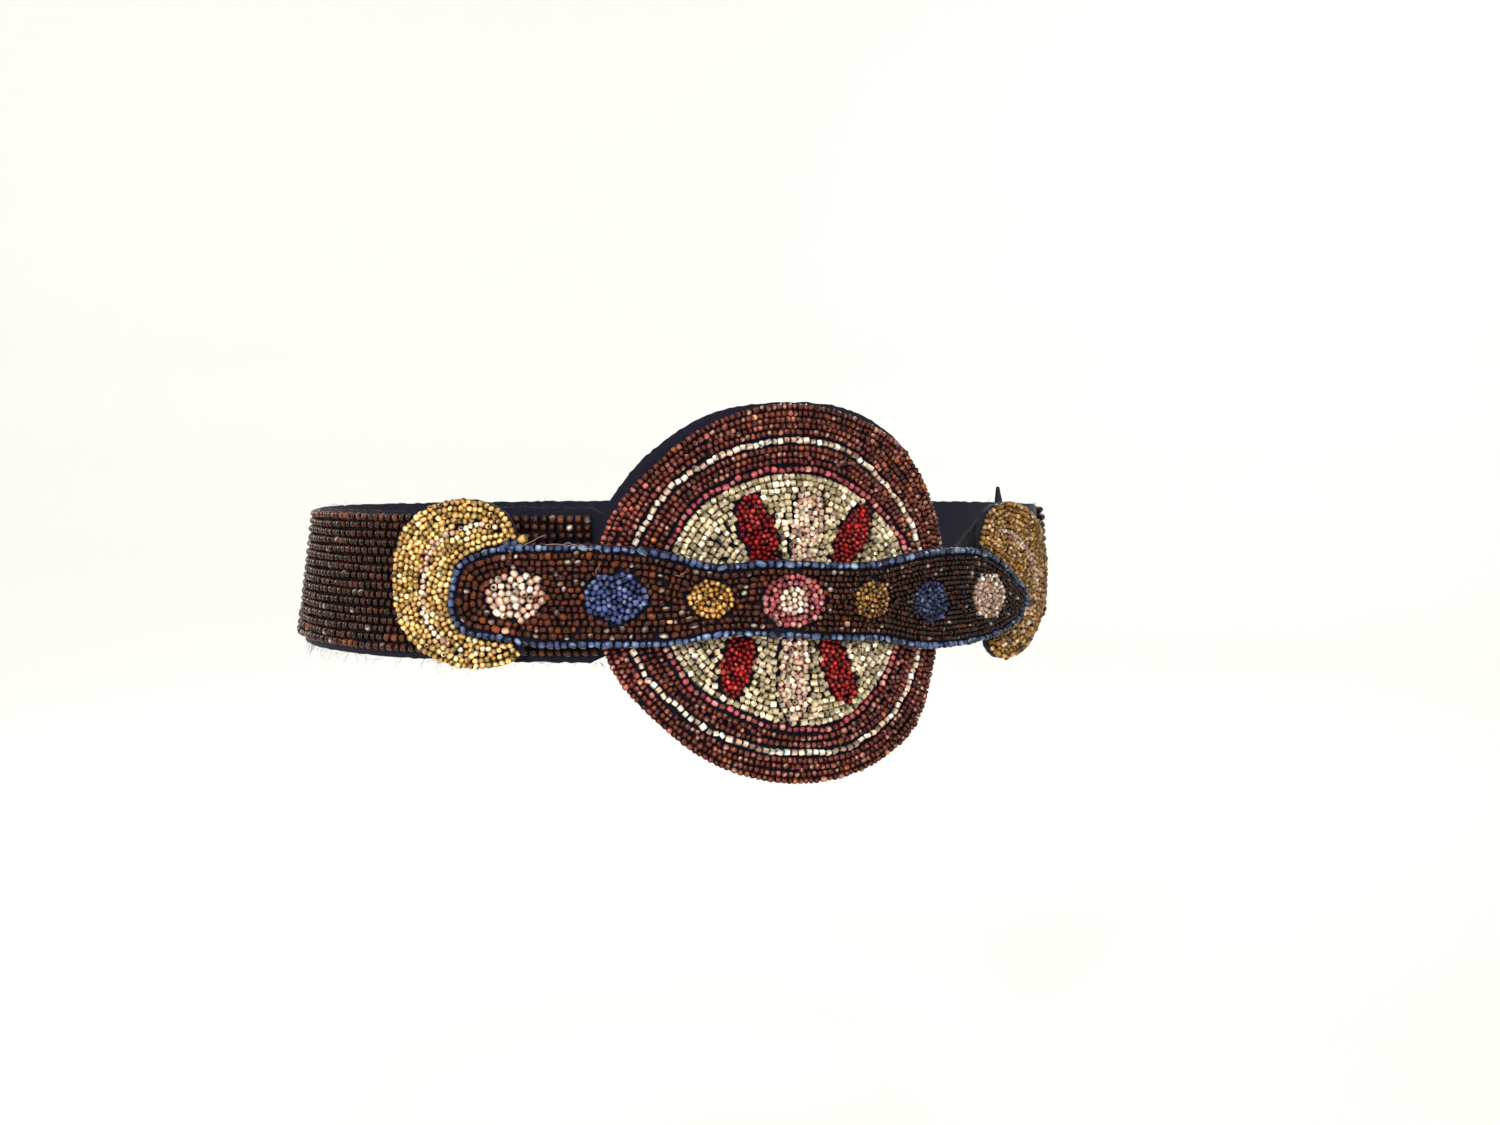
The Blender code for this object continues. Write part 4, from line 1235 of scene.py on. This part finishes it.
def add_cloths():
    """The five pieces of navy cloth."""
    rng = np.random.default_rng(53)
    for name, node_name, step, fray, held, rests in (
        ("band_navy_cloth", "band_cloth", 0.0016, 0.0004, "stretched", ["hook"]),
        ("medallion_navy_cloth", "medallion_cloth", 0.0012, 0.0003, "laid", ["band_navy_cloth"]),
        ("strap_navy_cloth", "strap_cloth", 0.0012, 0.0002, "laid", ["field_seed_beads"]),
        ("crescent_left_navy_cloth", "crescent_left_cloth", 0.0012, 0.0002, "laid",
         ["band_seed_beads_front"]),
        ("crescent_right_navy_cloth", "crescent_right_cloth", 0.0012, 0.0002, "laid",
         ["band_seed_beads_back"]),
    ):
        piece, flat, cut_area = cloth_sheet(name, node_name, step, fray, rng)


def finish_hook():
    """The hook keeps its solid and gets its metal."""
    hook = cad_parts["hook"]
    for slot in hook.material_slots:
        slot.material = METAL


# Stage, light and camera


def add_stage():
    """A pale floor that curves up all round, soft lamps and the camera."""
    turns = np.linspace(0, math.tau, FLOOR_SIDES + 1)[:-1]
    verts = [(0.0, 0.0, FLOOR_LEVEL)]
    for radius, height in STAGE_PROFILE:
        verts += [(radius * math.cos(a), radius * math.sin(a), FLOOR_LEVEL + height) for a in turns]
    count = len(turns)
    faces = [(0, 1 + k, 1 + (k + 1) % count) for k in range(count)]
    for ring in range(len(STAGE_PROFILE) - 1):
        base = 1 + ring * count
        for k in range(count):
            after = (k + 1) % count
            faces.append((base + k, base + count + k, base + count + after, base + after))
    floor_mesh = smooth_mesh("floor", verts, faces)
    floor = linked("floor", floor_mesh)
    floor_mesh.materials.append(new_material(
        "pale_floor", Base_Color=(0.82, 0.81, 0.79, 1.0), Roughness=0.95, Specular_IOR_Level=0.1,
    )[0])
    world = bpy.data.worlds.new("surround")
    bpy.context.scene.world = world
    world.use_nodes = True
    set_inputs(world.node_tree.nodes["Background"],
               {"Color": (1.0, 0.98, 0.94, 1.0), "Strength": WORLD_STRENGTH})
    for name, place, aim, size, power, colour in LAMPS:
        lamp = bpy.data.lights.new(name, "AREA")
        lamp.size = size
        lamp.energy = power
        lamp.color = colour
        holder = linked(name, lamp)
        holder.location = place
        holder.rotation_euler = (Vector(aim) - Vector(place)).to_track_quat("-Z", "Y").to_euler()
    camera = bpy.data.cameras.new("camera")
    camera.lens = CAMERA_LENS
    camera.sensor_width = SENSOR_WIDTH
    camera.clip_start = 0.01
    holder = linked("camera", camera)
    holder.location = CAMERA_PLACE
    holder.rotation_euler = Vector(CAMERA_AHEAD).to_track_quat("-Z", "Y").to_euler()
    bpy.context.scene.camera = holder
    bpy.context.scene.view_settings.view_transform = "Standard"


add_stage()
add_band_beads()
add_medallion_beads()
add_strap_beads()
add_crescent_beads()
add_stray_beads()
add_cloths()
add_threads()
finish_hook()
